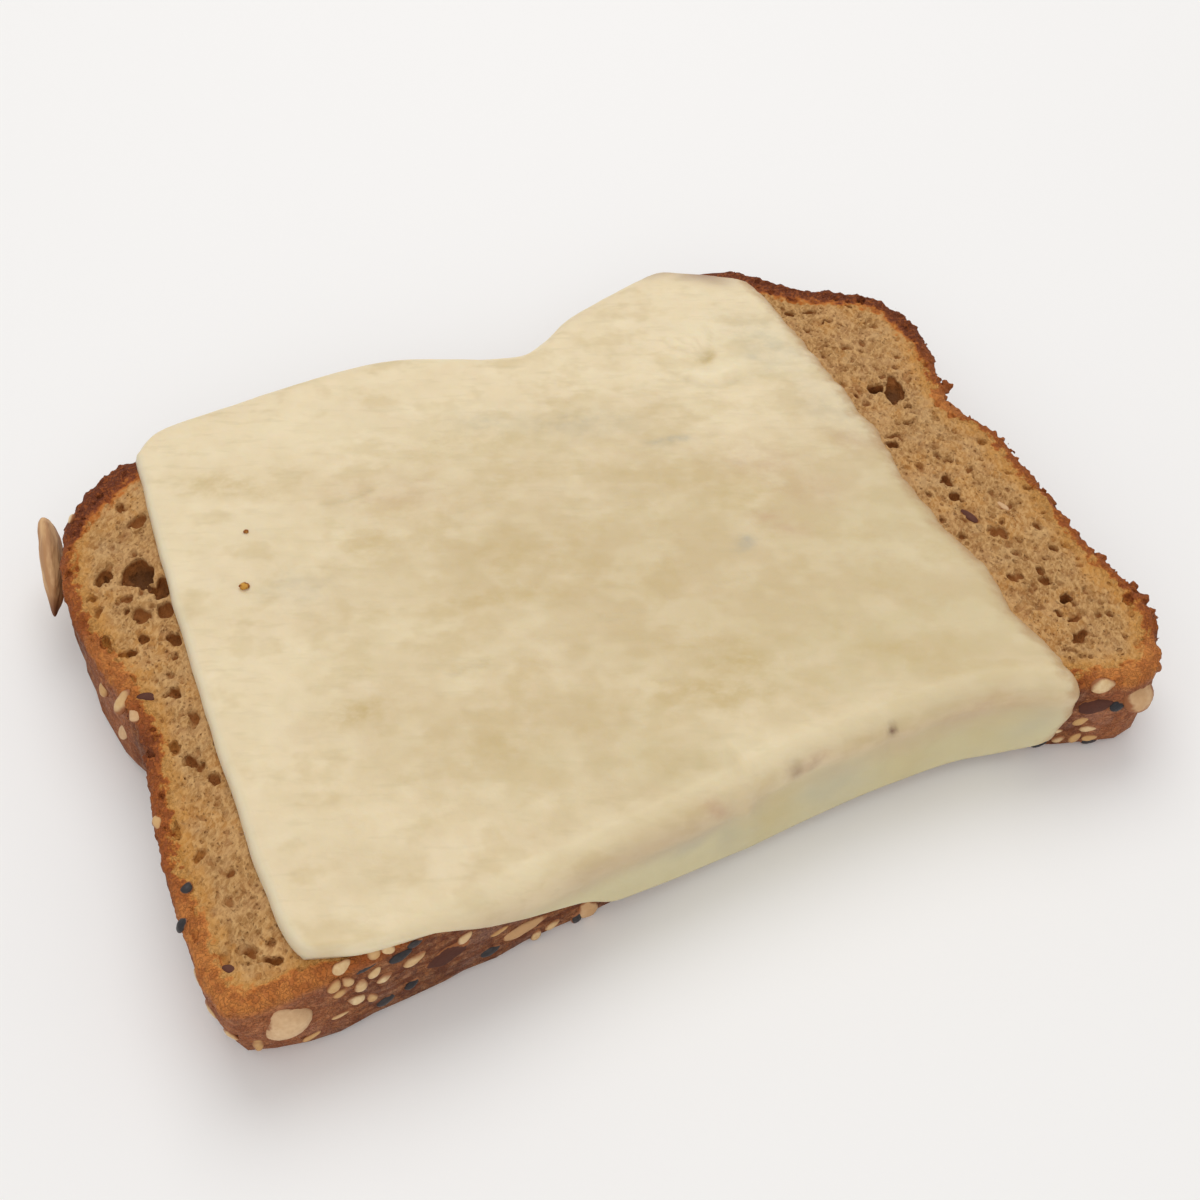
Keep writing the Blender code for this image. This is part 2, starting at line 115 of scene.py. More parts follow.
def softSpot(x, y, spot):
    # a soft round patch: x, y, radius, height
    return spot[3] * np.exp(-(((x - spot[0]) / spot[2]) ** 2) - ((y - spot[1]) / spot[2]) ** 2)


def alongTurn(x, y, angle):
    # how far x and y reach along and across a direction turned by the angle
    c, s = math.cos(angle), math.sin(angle)
    return x * c + y * s, y * c - x * s


def roundMax(a, b, radius):
    # the larger of two distances, with the corner between them rounded
    u = np.maximum(a + radius, 0.0)
    v = np.maximum(b + radius, 0.0)
    return np.minimum(np.maximum(a, b), -radius) + np.sqrt(u * u + v * v)


def meshFrom(name, points, faces, flats=None):
    # one shaded-smooth object from arrays of points in mm and of faces
    mesh = bpy.data.meshes.new(name)
    faceSets = [f for f in (faces, flats) if f is not None and len(f)]
    corners = np.concatenate([f.reshape(-1) for f in faceSets]).astype(np.int32)
    sizes = np.concatenate([np.full(len(f), f.shape[1]) for f in faceSets])
    starts = np.concatenate([[0], np.cumsum(sizes)[:-1]]).astype(np.int32)
    mesh.vertices.add(len(points))
    mesh.vertices.foreach_set("co", ((points + toCentre) * mm).astype(np.float32).ravel())
    mesh.loops.add(len(corners))
    mesh.loops.foreach_set("vertex_index", corners)
    mesh.polygons.add(len(sizes))
    mesh.polygons.foreach_set("loop_start", starts)
    mesh.update(calc_edges=True)
    mesh.validate()
    mesh.shade_smooth()
    obj = bpy.data.objects.new(name, mesh)
    bpy.context.scene.collection.objects.link(obj)
    return obj


def pointsOf(obj):
    # the mesh's points in mm round the middle of the slice
    flat = np.empty(len(obj.data.vertices) * 3, np.float32)
    obj.data.vertices.foreach_get("co", flat)
    return flat.reshape(-1, 3).astype(float) / mm - toCentre


def addValues(obj, values):
    # numbers for each point under their names, read by Attribute nodes
    for name, numbers in values.items():
        layer = obj.data.attributes.new(name, "FLOAT", "POINT")
        layer.data.foreach_set("value", np.asarray(numbers, np.float32))


def finishPiece(obj, material, node=None):
    obj.data.materials.clear()
    obj.data.materials.append(material)
    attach(obj, "root")
    if node:
        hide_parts(node)


def paint(red, green, blue):
    # a colour as it shows on screen, 0 to 255, as Blender's own linear colour
    def linear(c):
        c = c / 255
        return c / 12.92 if c <= 0.04045 else ((c + 0.055) / 1.055) ** 2.4
    return (linear(red), linear(green), linear(blue), 1.0)


def paints(colours):
    return {name: paint(*rgb) for name, rgb in colours.items()}


class Maker:
    # adds nodes to a tree, linking whatever is passed as a socket
    def __init__(self, tree):
        self.tree = tree

    def node(self, kind, settings=None, **inputs):
        made = self.tree.nodes.new(kind)
        for name, value in (settings or {}).items():
            setattr(made, name, value)
        for name, value in inputs.items():
            self.set(made, name.replace("_", " "), value)
        return made

    def set(self, made, name, value):
        # i0, i1 and so on are sockets by number, any other name is the socket's own
        byNumber = name[0] == "i" and name[1:].isdigit()
        socket = made.inputs[int(name[1:]) if byNumber else name]
        if isinstance(value, bpy.types.NodeSocket):
            self.tree.links.new(value, socket)
        else:
            socket.default_value = value

    def math(self, operation, a, b, clamp=False):
        settings = {"operation": operation, "use_clamp": clamp}
        return self.node("ShaderNodeMath", settings, i0=a, i1=b).outputs[0]

    def plus(self, a, b):
        return self.math("ADD", a, b)

    def times(self, a, b):
        return self.math("MULTIPLY", a, b)

    def strayed(self, value, amount):
        # how far a mottle strays from its middle, times the amount
        return self.times(self.math("SUBTRACT", value, 0.5), amount)

    def vector(self, operation, a, b):
        return self.node("ShaderNodeVectorMath", {"operation": operation}, i0=a, i1=b).outputs[0]

    def mix(self, amount, a, b):
        settings = {"data_type": "RGBA", "clamp_factor": True}
        return self.node("ShaderNodeMix", settings, i0=amount, i6=a, i7=b).outputs[2]

    def coats(self, colour, rows):
        # colours laid over one another: mask, share, colour
        for mask, share, over in rows:
            colour = self.mix(self.times(mask, share), colour, over)
        return colour

    def spread(self, value, low, high, toLow=0.0, toHigh=1.0):
        return self.node(
            "ShaderNodeMapRange", {"interpolation_type": "SMOOTHSTEP"}, Value=value,
            From_Min=low, From_Max=high, To_Min=toLow, To_Max=toHigh,
        ).outputs[0]

    def noise(self, place, scale, **inputs):
        return self.node("ShaderNodeTexNoise", Vector=place, Scale=scale, **inputs).outputs["Fac"]

    def attributes(self, *names):
        made = [self.node("ShaderNodeAttribute", {"attribute_name": name}) for name in names]
        return [node.outputs["Fac"] for node in made]

    def group(self, tree, **inputs):
        return self.node("ShaderNodeGroup", {"node_tree": tree}, **inputs).outputs

    def mottles(self, tree, rows):
        # the Mottle group placed once for each row, with the turn in degrees
        names = ("Size", "Stretch", "Turn", "Low", "High", "Shift", "Detail")
        placed = {}
        for name, row in rows.items():
            inputs = dict(zip(names, row))
            inputs["Turn"] = math.radians(inputs["Turn"])
            placed[name] = self.group(tree, **inputs)
        return placed


def newGroup(name, inputs, outputs):
    # an empty node group whose sockets are all plain numbers
    tree = bpy.data.node_groups.new(name, "ShaderNodeTree")
    for label, value in inputs.items():
        socket = tree.interface.new_socket(name=label, in_out="INPUT", socket_type="NodeSocketFloat")
        socket.default_value = value
    for label in outputs:
        tree.interface.new_socket(name=label, in_out="OUTPUT", socket_type="NodeSocketFloat")
    inside = tree.nodes.new("NodeGroupInput").outputs
    return tree, Maker(tree), inside, tree.nodes.new("NodeGroupOutput")


def stretchedPlace(maker, inside):
    # object coordinates drawn out along a direction turned round Z, and the cells in a metre
    place = maker.node("ShaderNodeTexCoord").outputs["Object"]
    aroundZ = {"rotation_type": "Z_AXIS"}
    turned = maker.node("ShaderNodeVectorRotate", aroundZ, Vector=place, Angle=inside["Turn"])
    share = maker.math("DIVIDE", 1.0, inside["Stretch"])
    scale = maker.node("ShaderNodeCombineXYZ", X=share, Y=1.0, Z=1.0)
    stretched = maker.vector("MULTIPLY", turned.outputs[0], scale.outputs[0])
    return place, stretched, maker.math("DIVIDE", 1000.0, inside["Size"])


def mottleGroup():
    # soft blotches
    tree, maker, inside, outside = newGroup(
        "Mottle",
        {"Size": 5.0, "Stretch": 1.0, "Turn": 0.0, "Detail": 3.0, "Low": 0.4, "High": 0.6, "Shift": 0.0},
        ("Mask", "Value"),
    )
    place, stretched, perMetre = stretchedPlace(maker, inside)
    moved = maker.vector("ADD", stretched, inside["Shift"])
    value = maker.noise(moved, perMetre, Detail=inside["Detail"], Roughness=0.55)
    maker.set(outside, "Mask", maker.spread(value, inside["Low"], inside["High"]))
    maker.set(outside, "Value", value)
    return tree


def grainGroup():
    # fine pitted grain: a height for bumps and a mask of the little pits
    tree, maker, inside, outside = newGroup(
        "Grain", {"Size": 0.6, "Stretch": 1.0, "Turn": 0.0, "Pits": 0.5}, ("Height", "Mask")
    )
    place, stretched, perMetre = stretchedPlace(maker, inside)
    wobble = maker.node("ShaderNodeTexNoise", Vector=stretched, Scale=perMetre, Detail=2.0)
    scaled = {"operation": "SCALE"}
    bend = maker.node("ShaderNodeVectorMath", scaled, i0=wobble.outputs["Color"], Scale=0.0007)
    bent = maker.vector("ADD", stretched, bend.outputs[0])
    smooth = {"feature": "SMOOTH_F1"}
    cells = maker.node("ShaderNodeTexVoronoi", smooth, Vector=bent, Scale=perMetre, Smoothness=0.35)
    pit = maker.spread(cells.outputs["Distance"], inside["Pits"], 0.05)
    value = maker.noise(place, maker.times(perMetre, 1.7), Detail=3.0)
    holes = maker.times(pit, maker.spread(value, 0.42, 0.6))
    maker.set(outside, "Height", maker.math("SUBTRACT", maker.times(value, 0.6), holes))
    maker.set(outside, "Mask", holes)
    return tree


def wrinkleGroup():
    # wrinkles that run along the crust, from the outline unrolled on a ring
    tree, maker, inside, outside = newGroup(
        "Wrinkles", {"Ring X": 0.0, "Ring Y": 0.0, "Inside": 0.0}, ("Value", "Mask")
    )
    place = maker.node("ShaderNodeTexCoord").outputs["Object"]
    height = maker.node("ShaderNodeSeparateXYZ", Vector=place).outputs["Z"]
    ringX, ringY = (maker.math("DIVIDE", inside[name], 3.2) for name in ("Ring X", "Ring Y"))
    strip = maker.node("ShaderNodeCombineXYZ", X=ringX, Y=ringY, Z=maker.times(height, 1250.0)).outputs[0]
    value = maker.node(
        "ShaderNodeTexNoise", {"noise_dimensions": "4D"}, Vector=strip,
        W=maker.times(inside["Inside"], 1.3), Scale=1.0, Detail=3.0, Roughness=0.6,
    ).outputs["Fac"]
    maker.set(outside, "Value", value)
    maker.set(outside, "Mask", maker.spread(value, 0.52, 0.42))
    return tree


def newMaterial(name, roughness, specular=0.5):
    material = bpy.data.materials.new(name)
    material.use_nodes = True
    shader = material.node_tree.nodes["Principled BSDF"]
    shader.inputs["Roughness"].default_value = roughness
    shader.inputs["Specular IOR Level"].default_value = specular
    return material, Maker(material.node_tree), shader


def bumpInto(maker, shader, height, strength, distance):
    bump = maker.node("ShaderNodeBump", Height=height, Strength=strength, Distance=distance)
    maker.set(shader, "Normal", bump.outputs[0])


bread = {
    "thick": 14.0,
    "rimRound": 2.0,  # top edge under the cheese
    "bareRimRound": 1.1,
    "footRound": 1.6,
    "cells": ((-70.2, 71.4), (-52.0, 52.4), (-0.8, 15.3)),  # reach of the grid in x, y and z
    "voxel": 0.25,
    "adaptivity": 0.02,
    "mostFaces": 196000,
    # lumps, each as rows of amount, cell, seed
    "waves": ((0.6, 6.0, 21), (0.5, 2.4, 22)),
    "wavesDepth": 0.3,
    "crumb": ((1.0, 0.8, 24), (0.6, 0.4, 25)),
    "crumbDepth": 0.15,
    "crags": (0.36, 2.3, 31),
    "grain": (0.2, 0.55, 33),
    "wrinkleLength": 3.4,
    "wrinkleCell": 0.85,
    "wrinkleDepth": 0.34,
    "foldLength": 2.4,  # the folds on top of the baked rim
    "foldCell": 0.85,
    "foldDepth": 0.5,
    "bakedSwell": 0.12,
    # the torn part of the right edge: where it fades in across the slice and out at the back
    "tornFrom": (56.0, 61.0),
    "tornTo": (44.0, 34.0),
    "toothCell": 1.3,
    "toothDepth": 0.8,
    "poreCount": 1500,
    "poreField": ((-66, 69), (-50, 50)),
    "undersidePores": 260,
    "undersideField": ((-58, 60), (-40, 40)),
    "cornerTuck": (-60.6, -45.6, 4.6, 2.6),  # the foot of the front left corner: x, y, radius, how far in
    "domeSwell": (-54.5, 42.5, 6.0, -1.1),
    # the slice seen from above: x, y, and how far the top stands inside the foot
    "outline": (
        (-59.6, -44.6, 0.2), (-50.0, -44.9, 0.0), (-36.0, -44.1, 0.3), (-20.0, -43.3, 0.9),
        (-6.0, -42.5, 1.0), (8.0, -41.8, 1.0), (22.0, -41.6, 1.0), (34.0, -42.3, 1.0),
        (41.0, -43.6, 0.8), (49.0, -46.7, 0.4), (55.5, -48.9, 0.0), (59.8, -48.2, 0.0),
        (62.8, -44.4, 0.0), (65.5, -38.8, 0.0), (65.0, -26.0, 0.0), (65.8, -13.0, 0.0),
        (65.9, -3.0, 0.0), (63.8, 5.0, 0.0), (65.0, 9.4, 0.0), (67.4, 16.5, 0.0), (68.5, 22.6, 0.0),
        (67.4, 28.8, 0.0), (63.9, 33.6, 0.0), (57.0, 37.9, 0.0), (52.2, 43.4, 0.0), (48.0, 47.8, 0.0),
        (39.6, 49.6, 0.0), (29.0, 47.4, 0.0), (20.0, 44.7, 0.0), (14.4, 41.2, 0.0), (9.6, 39.4, 0.0),
        (3.2, 41.1, 0.0), (-9.0, 46.5, 0.0), (-18.0, 48.0, 0.0), (-33.0, 47.5, 0.0), (-45.0, 46.6, 0.0),
        (-53.2, 43.2, 0.0), (-60.2, 37.8, 0.0), (-63.8, 30.6, 0.2), (-65.3, 21.0, 0.8),
        (-64.9, 11.4, 1.6), (-63.7, 3.6, 2.3), (-61.8, -2.6, 1.2), (-62.2, -12.0, 1.0),
        (-63.2, -22.0, 1.0), (-63.0, -33.0, 0.9), (-62.2, -40.6, 0.5),
    ),
    # the larger holes of the cut face, each from a few overlapping hollows:
    # x, y, length, width, turn in degrees, depth
    "eyes": (
        (-54.6, 22.3, 4.9, 4.3, 62, 2.4), (-52.2, 18.4, 4.2, 1.9, 78, 2.0),
        (-59.0, 23.6, 2.6, 2.2, 70, 2.0), (-52.4, 32.0, 3.0, 1.9, 40, 1.2),
        (-54.8, 29.9, 3.0, 2.2, 70, 0.5), (-61.3, 20.6, 1.4, 0.9, 60, 0.9),
        (-57.0, 18.6, 1.8, 1.2, 150, 0.9), (-60.8, 17.8, 1.7, 1.1, 60, 1.0),
        (-55.9, 14.9, 2.8, 2.1, 110, 1.2), (-52.7, 14.4, 3.0, 2.0, 90, 1.4),
        (-61.1, 12.2, 2.2, 1.2, 95, 1.3), (-60.7, 10.5, 1.2, 0.9, 120, 0.8),
        (-58.9, 9.2, 2.3, 1.1, 165, 1.2), (-56.5, 10.9, 1.8, 1.2, 90, 1.3),
        (-52.9, 9.1, 2.6, 1.4, 120, 1.5), (-54.9, 0.5, 2.3, 0.9, 110, 1.2),
        (-54.8, 3.5, 1.3, 0.8, 110, 0.8), (-57.0, -7.5, 1.8, 1.1, 80, 1.2),
        (-60.3, -6.7, 3.0, 1.1, 115, 1.6), (-53.6, -4.2, 2.2, 1.1, 100, 1.0),
        (-55.6, -10.6, 2.2, 1.2, 110, 1.2), (-53.8, -14.2, 2.4, 1.0, 105, 1.1),
        (-56.1, -38.0, 2.3, 1.2, 135, 0.9), (-53.9, -40.2, 2.4, 0.8, 150, 1.0),
        (-59.6, -19.6, 2.4, 0.8, 75, 0.9), (54.9, 12.2, 2.5, 2.0, -12, 2.2),
        (57.3, 10.6, 5.0, 2.7, 66, 2.4), (56.5, 29.0, 1.7, 0.8, 150, 1.0),
        (55.1, 32.2, 2.2, 1.0, 160, 1.1), (55.8, 22.3, 2.0, 1.0, 160, 0.8),
        (52.6, 28.3, 1.6, 0.7, 150, 0.9), (50.8, 0.7, 1.7, 1.5, 60, 1.4),
        (52.0, 2.2, 2.4, 1.0, 165, 0.8), (56.3, -5.4, 1.7, 0.9, 110, 0.9),
        (53.9, -8.8, 2.5, 1.4, 75, 1.5), (53.0, -11.9, 2.0, 1.3, 75, 1.5),
        (54.7, -20.1, 3.0, 1.5, 120, 1.0), (60.2, -21.5, 1.6, 0.9, 100, 0.9),
        (51.6, -27.9, 2.0, 1.2, 90, 1.0), (55.3, -30.2, 1.8, 1.2, 80, 1.2),
        (55.9, -33.9, 2.0, 1.5, 10, 1.8), (55.0, -37.2, 2.0, 0.9, 10, 1.1),
        (53.5, -35.6, 1.5, 0.8, 80, 0.9), (53.8, -39.9, 2.8, 1.2, 15, 1.4),
        (63.1, -37.6, 2.0, 1.3, 70, 1.2), (59.5, -38.4, 1.3, 0.9, 60, 0.9),
        (53.0, -15.7, 4.0, 2.0, 101, 0.5), (58.3, -16.1, 3.4, 1.7, 101, 0.5),
        (-58.4, 1.6, 3.2, 2.0, 150, 0.5),
    ),
    # bits of crust and crumb that stick out of the edge: x, y, z, radius
    "tornBits": (
        (65.0, 8.6, 13.0, 0.9), (65.7, 8.3, 13.3, 0.5), (65.6, -37.6, 12.8, 0.9),
        (65.2, -40.0, 12.6, 0.8), (65.9, -35.4, 13.0, 0.6), (65.0, -29.4, 13.0, 0.7),
        (65.3, -14.4, 12.8, 0.6), (51.0, 43.8, 13.0, 0.7),
    ),
    # how much darker the crust and the crumb beside it are baked: x, y, radius, amount
    "bakeSpots": (
        (-57, 40, 11, 1.0), (-64.5, 22, 9, 0.3), (-48, 46, 12, 0.9), (66, 24, 12, 0.75),
        (56, 40, 12, 1.0), (46, 48, 10, 0.9), (66, -2, 9, 0.3), (66, -14, 9, 0.3), (65, -38, 8, 0.4),
        (62, 5, 6, 0.0), (-62, -8, 5, 0.5), (-61, -4, 4, 0.45), (-62, -16, 6, 0.3),
        (57, -48.5, 7, -0.3), (-62, -34, 10, 0.0), (-60, -44, 8, -0.1), (-65.5, 7, 8, -0.3),
        (-50, -46, 6, 0.1),
    ),
    "usualBake": 0.25,
    # the two pore browns below are painted shade, darker in the pores and the deeper holes; the lighter
    # one also tints random brown patches
    "colours": {
        "crumb": (172, 126, 74), "honey": (190, 134, 70), "pink": (190, 146, 98),
        "ash": (202, 166, 118), "ridge": (219, 175, 118), "poreShadeBrown": (140, 84, 36),
        "deepPitShade": (100, 60, 26), "golden": (210, 146, 66), "glow": (206, 130, 64),
        "orange": (190, 112, 46), "rust": (162, 86, 38), "dark": (112, 54, 28),
        "wall": (156, 98, 60), "wallDark": (118, 68, 44), "wallLight": (190, 136, 96),
        "mauve": (152, 114, 98), "ember": (186, 112, 70), "underside": (188, 138, 84),
    },
    # size in mm, stretch, turn in degrees, low and high end of the mask, shift, detail
    "mottles": {
        "golden": (6.0, 1.0, 0, 0.47, 0.6, 0.0, 3.0),
        "pink": (4.0, 1.0, 0, 0.48, 0.62, 0.3, 3.0),
        "ash": (5.0, 1.0, 0, 0.55, 0.66, 5.3, 2.0),
        "shade": (2.4, 1.0, 0, 0.5, 0.66, 6.1, 3.0),
        "speck": (0.55, 2.0, -80, 0.48, 0.62, 0.7, 3.0),
        "fibre": (0.38, 2.6, -40, 0.46, 0.62, 1.9, 2.0),
        "ragged": (1.5, 1.0, 0, 0.0, 1.0, 0.0, 5.0),
        "crisp": (0.5, 1.0, 0, 0.44, 0.58, 3.1, 3.0),
        "patches": (2.2, 1.0, 0, 0.42, 0.58, 1.3, 4.0),
        "mauve": (6.0, 1.0, 0, 0.5, 0.62, 2.1, 3.0),
        "flake": (1.1, 1.0, 0, 0.5, 0.62, 2.7, 4.0),
    },
}

loopCount = 1600
loop = smoothLoop(bread["outline"], loopCount)
ahead = np.roll(loop[:, :2], -1, axis=0) - np.roll(loop[:, :2], 1, axis=0)
ahead /= np.linalg.norm(ahead, axis=1, keepdims=True)
outward = np.stack([ahead[:, 1], -ahead[:, 0]], axis=1)
loopTree = KDTree(loopCount)
for k, row in enumerate(loop):
    loopTree.insert((row[0], row[1], 0.0), k)
loopTree.balance()
# the outline unrolled on a circle of the same length, so that what follows it has no seam
ringRadius = np.linalg.norm(np.roll(loop[:, :2], -1, axis=0) - loop[:, :2], axis=1).sum() / (2 * math.pi)


def nearestOnLoop(x, y):
    # for each point, the nearest sample of the outline and how far inside it the point lies
    flatX, flatY = np.ravel(x), np.ravel(y)
    found = np.fromiter(
        (loopTree.find((a, b, 0.0))[1] for a, b in zip(flatX, flatY)), np.int32, len(flatX)
    )
    away = np.stack([flatX - loop[found, 0], flatY - loop[found, 1]], axis=1)
    inside = -(away * outward[found]).sum(axis=1)
    return found.reshape(np.shape(x)), inside.reshape(np.shape(x))


def ringPlace(nearest):
    turn = nearest / loopCount * 2 * math.pi
    return ringRadius * np.cos(turn), ringRadius * np.sin(turn)


def underCheese(x, y):
    # 1 where the cheese lies over the slice, 0 well clear of it
    left = np.interp(y, *cheeseLeft) - 0.5
    right = np.interp(y, *cheeseRight) + 0.3
    return np.clip(np.minimum(x - left, right - x) / 1.2 + 1.0, 0.0, 1.0)


def bakeAt(x, y):
    amount = np.full(np.shape(x), bread["usualBake"])
    for spotX, spotY, radius, more in bread["bakeSpots"]:
        far = np.hypot(x - spotX, y - spotY) / radius
        amount = amount + (more - bread["usualBake"]) * np.exp(-far * far * 1.5)
    return np.clip(amount, 0, 1)


def windowAt(axes, centre, reach):
    return tuple(slice(*np.searchsorted(axis, (c - reach, c + reach))) for axis, c in zip(axes, centre))


def carve(field, fine, axes, centre, radii, angle, lumps):
    # takes a lumpy ellipsoid out of the field, in the window of cells round it
    window = windowAt(axes, centre, max(radii) + 0.6)
    if any(span.stop - span.start < 2 for span in window):
        return
    gx = (axes[0][window[0]] - centre[0])[:, None, None]
    gy = (axes[1][window[1]] - centre[1])[None, :, None]
    gz = (axes[2][window[2]] - centre[2])[None, None, :]
    u, v = alongTurn(gx, gy, angle)
    u, v = u / radii[0], v / radii[1]
    far = np.cbrt(np.abs(u) ** 3 + np.abs(v) ** 3 + np.abs(gz / radii[2]) ** 3) + 1e-6
    around = np.arctan2(v, u)
    wobble = sum(a * np.cos(n * around + p) for n, a, p in lumps)
    hollow = (1.0 + wobble - far) * min(radii) + 0.7 * fine[window]
    solid = field[window]
    soft = 0.06  # mm over which the hollow's edge is rounded
    blend = np.clip(0.5 + 0.5 * (hollow - solid) / soft, 0.0, 1.0)
    field[window] = solid * (1 - blend) + hollow * blend + soft * blend * (1 - blend)


def lumpsOf(draw, depth):
    return [(n, depth * draw.uniform(0.4, 1.0) / math.sqrt(n), draw.uniform(0, 6.28)) for n in (2, 3, 5)]


def breadField():
    # the signed distance to the slice's surface on a grid of cells, below 0 inside
    thick = bread["thick"]
    axes = [np.arange(low, high, bread["voxel"], dtype=np.float32) for low, high in bread["cells"]]
    x, y = np.meshgrid(axes[0], axes[1], indexing="ij")
    found, inside = nearestOnLoop(x, y)
    inside = inside.astype(np.float32)
    lean = loop[found, 2].astype(np.float32)
    bare = (1.0 - underCheese(x, y)).astype(np.float32)
    flat = np.stack([x, y, np.zeros_like(x)], axis=-1)
    torn = bare * ramp(x, *bread["tornFrom"]) * ramp(y, *bread["tornTo"])

    # the cut face: soft waves, lower over the last millimetres to the crust
    waves = layered(flat, bread["waves"])
    top = thick + bare * bread["wavesDepth"] * waves - 0.05 * (1.0 - bare) - 0.1 * bare
    # the baked rim stands a little proud, with folds that follow the outline
    baked = bakeAt(x, y)
    ringX, ringY = ringPlace(found)
    length = bread["foldLength"]
    rings = np.stack([ringX / length, ringY / length, inside / bread["foldCell"]], axis=-1)
    folds = 0.3 - np.abs(smoothNoise(rings, 1.0, 23)) + 0.7 * smoothNoise(flat, 0.75, 26)
    crusted = bare * ramp(inside, 1.2 + 3.2 * baked, 0.6 + 1.2 * baked)
    top = top + bread["foldDepth"] * crusted * folds + bread["bakedSwell"] * crusted * baked
    top = (top - 0.3 * bare * ramp(-inside, -1.4, 0.0)).astype(np.float32)

    z = axes[2][None, None, :]
    side = (lean[..., None] * z / thick - inside[..., None]).astype(np.float32)
    side += (softSpot(x, y, bread["cornerTuck"])[..., None] * ramp(z, 9.0, 0.0)).astype(np.float32)
    spots = np.nonzero(np.abs(side) < 1.7)
    px, py, pz = (axis[spot] for axis, spot in zip(axes, spots))
    at = spots[:2]
    covered = 1.0 - bare[at]
    # under the hanging cheese the crust is pressed flat, lower down it is free again
    hung = covered * (py < 0) * ramp(pz, 1.0, 3.0) + covered * (py > 0) * ramp(pz, 9.0, 11.0)
    rough = crustRelief(px, py, pz, found[at], inside[at], torn[at]) * (0.8 + 0.8 * baked[at])
    rough += softSpot(px, py, bread["domeSwell"])
    side[spots] += rough * (1 - 0.92 * hung)

    rim = bread["rimRound"] + (bread["bareRimRound"] - bread["rimRound"]) * bare
    field = roundMax(side, z - top[..., None], rim[..., None].astype(np.float32))
    field = roundMax(field, -z, np.float32(bread["footRound"]))

    # crumb all over the bare cut face, deep enough to roughen the walls of the pores too
    fine = np.zeros_like(field)
    spots = np.nonzero((bare > 0)[..., None] & (z > thick - 4.2) & (np.abs(field) < 4.5))
    here = np.stack([axis[spot] for axis, spot in zip(axes, spots)], axis=-1)
    fine[spots] = layered(here, bread["crumb"]) * bread["crumbDepth"] * bare[spots[:2]]
    field += fine * ramp(inside, 0.8, 2.4)[..., None].astype(np.float32)
    addTornBits(field, axes)
    draw = random.Random(5)
    carveEyes(field, fine, axes, draw)
    scatterPores(field, fine, axes, draw)
    return field, axes


def carveEyes(field, fine, axes, draw):
    top = bread["thick"]
    for x, y, length, width, turn, depth in bread["eyes"]:
        radii = (length / 2, width / 2, depth * 0.8)
        carve(field, fine, axes, (x, y, top - 0.15), radii, math.radians(turn), lumpsOf(draw, 0.16))
        for _ in range(2):
            a = draw.uniform(0, 6.28)
            shift = draw.uniform(0.25, 0.5)
            part = (
                x + shift * length / 2 * math.cos(a),
                y + shift * width / 2 * math.sin(a),
                top - draw.uniform(0.2, 0.6) * depth,
            )
            share = draw.uniform(0.35, 0.6)
            radii = (length / 2 * share, width / 2 * share + 0.1, depth * 0.4 + 0.1)
            carve(field, fine, axes, part, radii, draw.uniform(0, 3.14), lumpsOf(draw, 0.2))


def addTornBits(field, axes):
    for x, y, z, radius in bread["tornBits"]:
        window = windowAt(axes, (x, y, z), radius * 1.8)
        near = [axis[span] for axis, span in zip(axes, window)]
        grid = np.stack(np.meshgrid(*near, indexing="ij"), axis=-1)
        far = np.linalg.norm(grid - np.array((x, y, z), np.float32), axis=-1)
        lump = far - radius * (0.9 + 0.9 * smoothNoise(grid, radius, 34))
        field[window] = -roundMax(-field[window], -lump, 0.25)


def crustRelief(px, py, pz, nearest, deep, torn):
    # crags, wrinkles that run along the crust, grain, and torn teeth where asked
    ringX, ringY = ringPlace(nearest)
    here = np.stack([px, py, pz], axis=-1)
    long, short = bread["wrinkleLength"], bread["wrinkleCell"]
    strips = np.stack(
        [ringX / long, ringY / long + deep / short, pz / short + deep * 0.6 / short], axis=-1
    )
    rough = layered(here, (bread["crags"],))
    rough += bread["wrinkleDepth"] * (np.abs(smoothNoise(strips, 1.0, 32)) - 0.35)
    rough += layered(here, (bread["grain"],))
    tooth = bread["toothCell"]
    teeth = layered(here, ((1.0, (tooth, tooth, tooth * 1.6), 11), (0.7, tooth * 0.45, 12)))
    rough += torn * ramp(pz, 4.0, 11.0) * bread["toothDepth"] * teeth
    return (rough + 0.1).astype(np.float32)


def scatterPores(field, fine, axes, draw):
    # small pores over the bare cut face, longer along the crust, and a few underneath
    made = 0
    while made < bread["poreCount"]:
        px, py = (draw.uniform(*span) for span in bread["poreField"])
        if float(underCheese(px, py)) > 0.5:
            continue
        at, inside = nearestOnLoop(np.array([px]), np.array([py]))
        if inside[0] < 1.6 or (inside[0] < 4.0 and draw.random() < 0.6):
            continue
        long = min(0.8, 0.26 + draw.expovariate(7.5))
        wide = long * draw.uniform(0.45, 0.8)
        turn = math.atan2(ahead[at[0], 1], ahead[at[0], 0]) + draw.gauss(0, 0.45)
        radii = (long, wide, wide * draw.uniform(0.8, 1.6))
        carve(field, fine, axes, (px, py, bread["thick"] - 0.15), radii, turn, lumpsOf(draw, 0.2))
        made += 1
    for _ in range(bread["undersidePores"]):
        px, py = (draw.uniform(*span) for span in bread["undersideField"])
        long = draw.uniform(0.6, 1.8)
        turn = draw.uniform(0, 3.14)
        carve(field, fine, axes, (px, py, 0.0), (long, long * 0.6, 0.7), turn, lumpsOf(draw, 0.2))


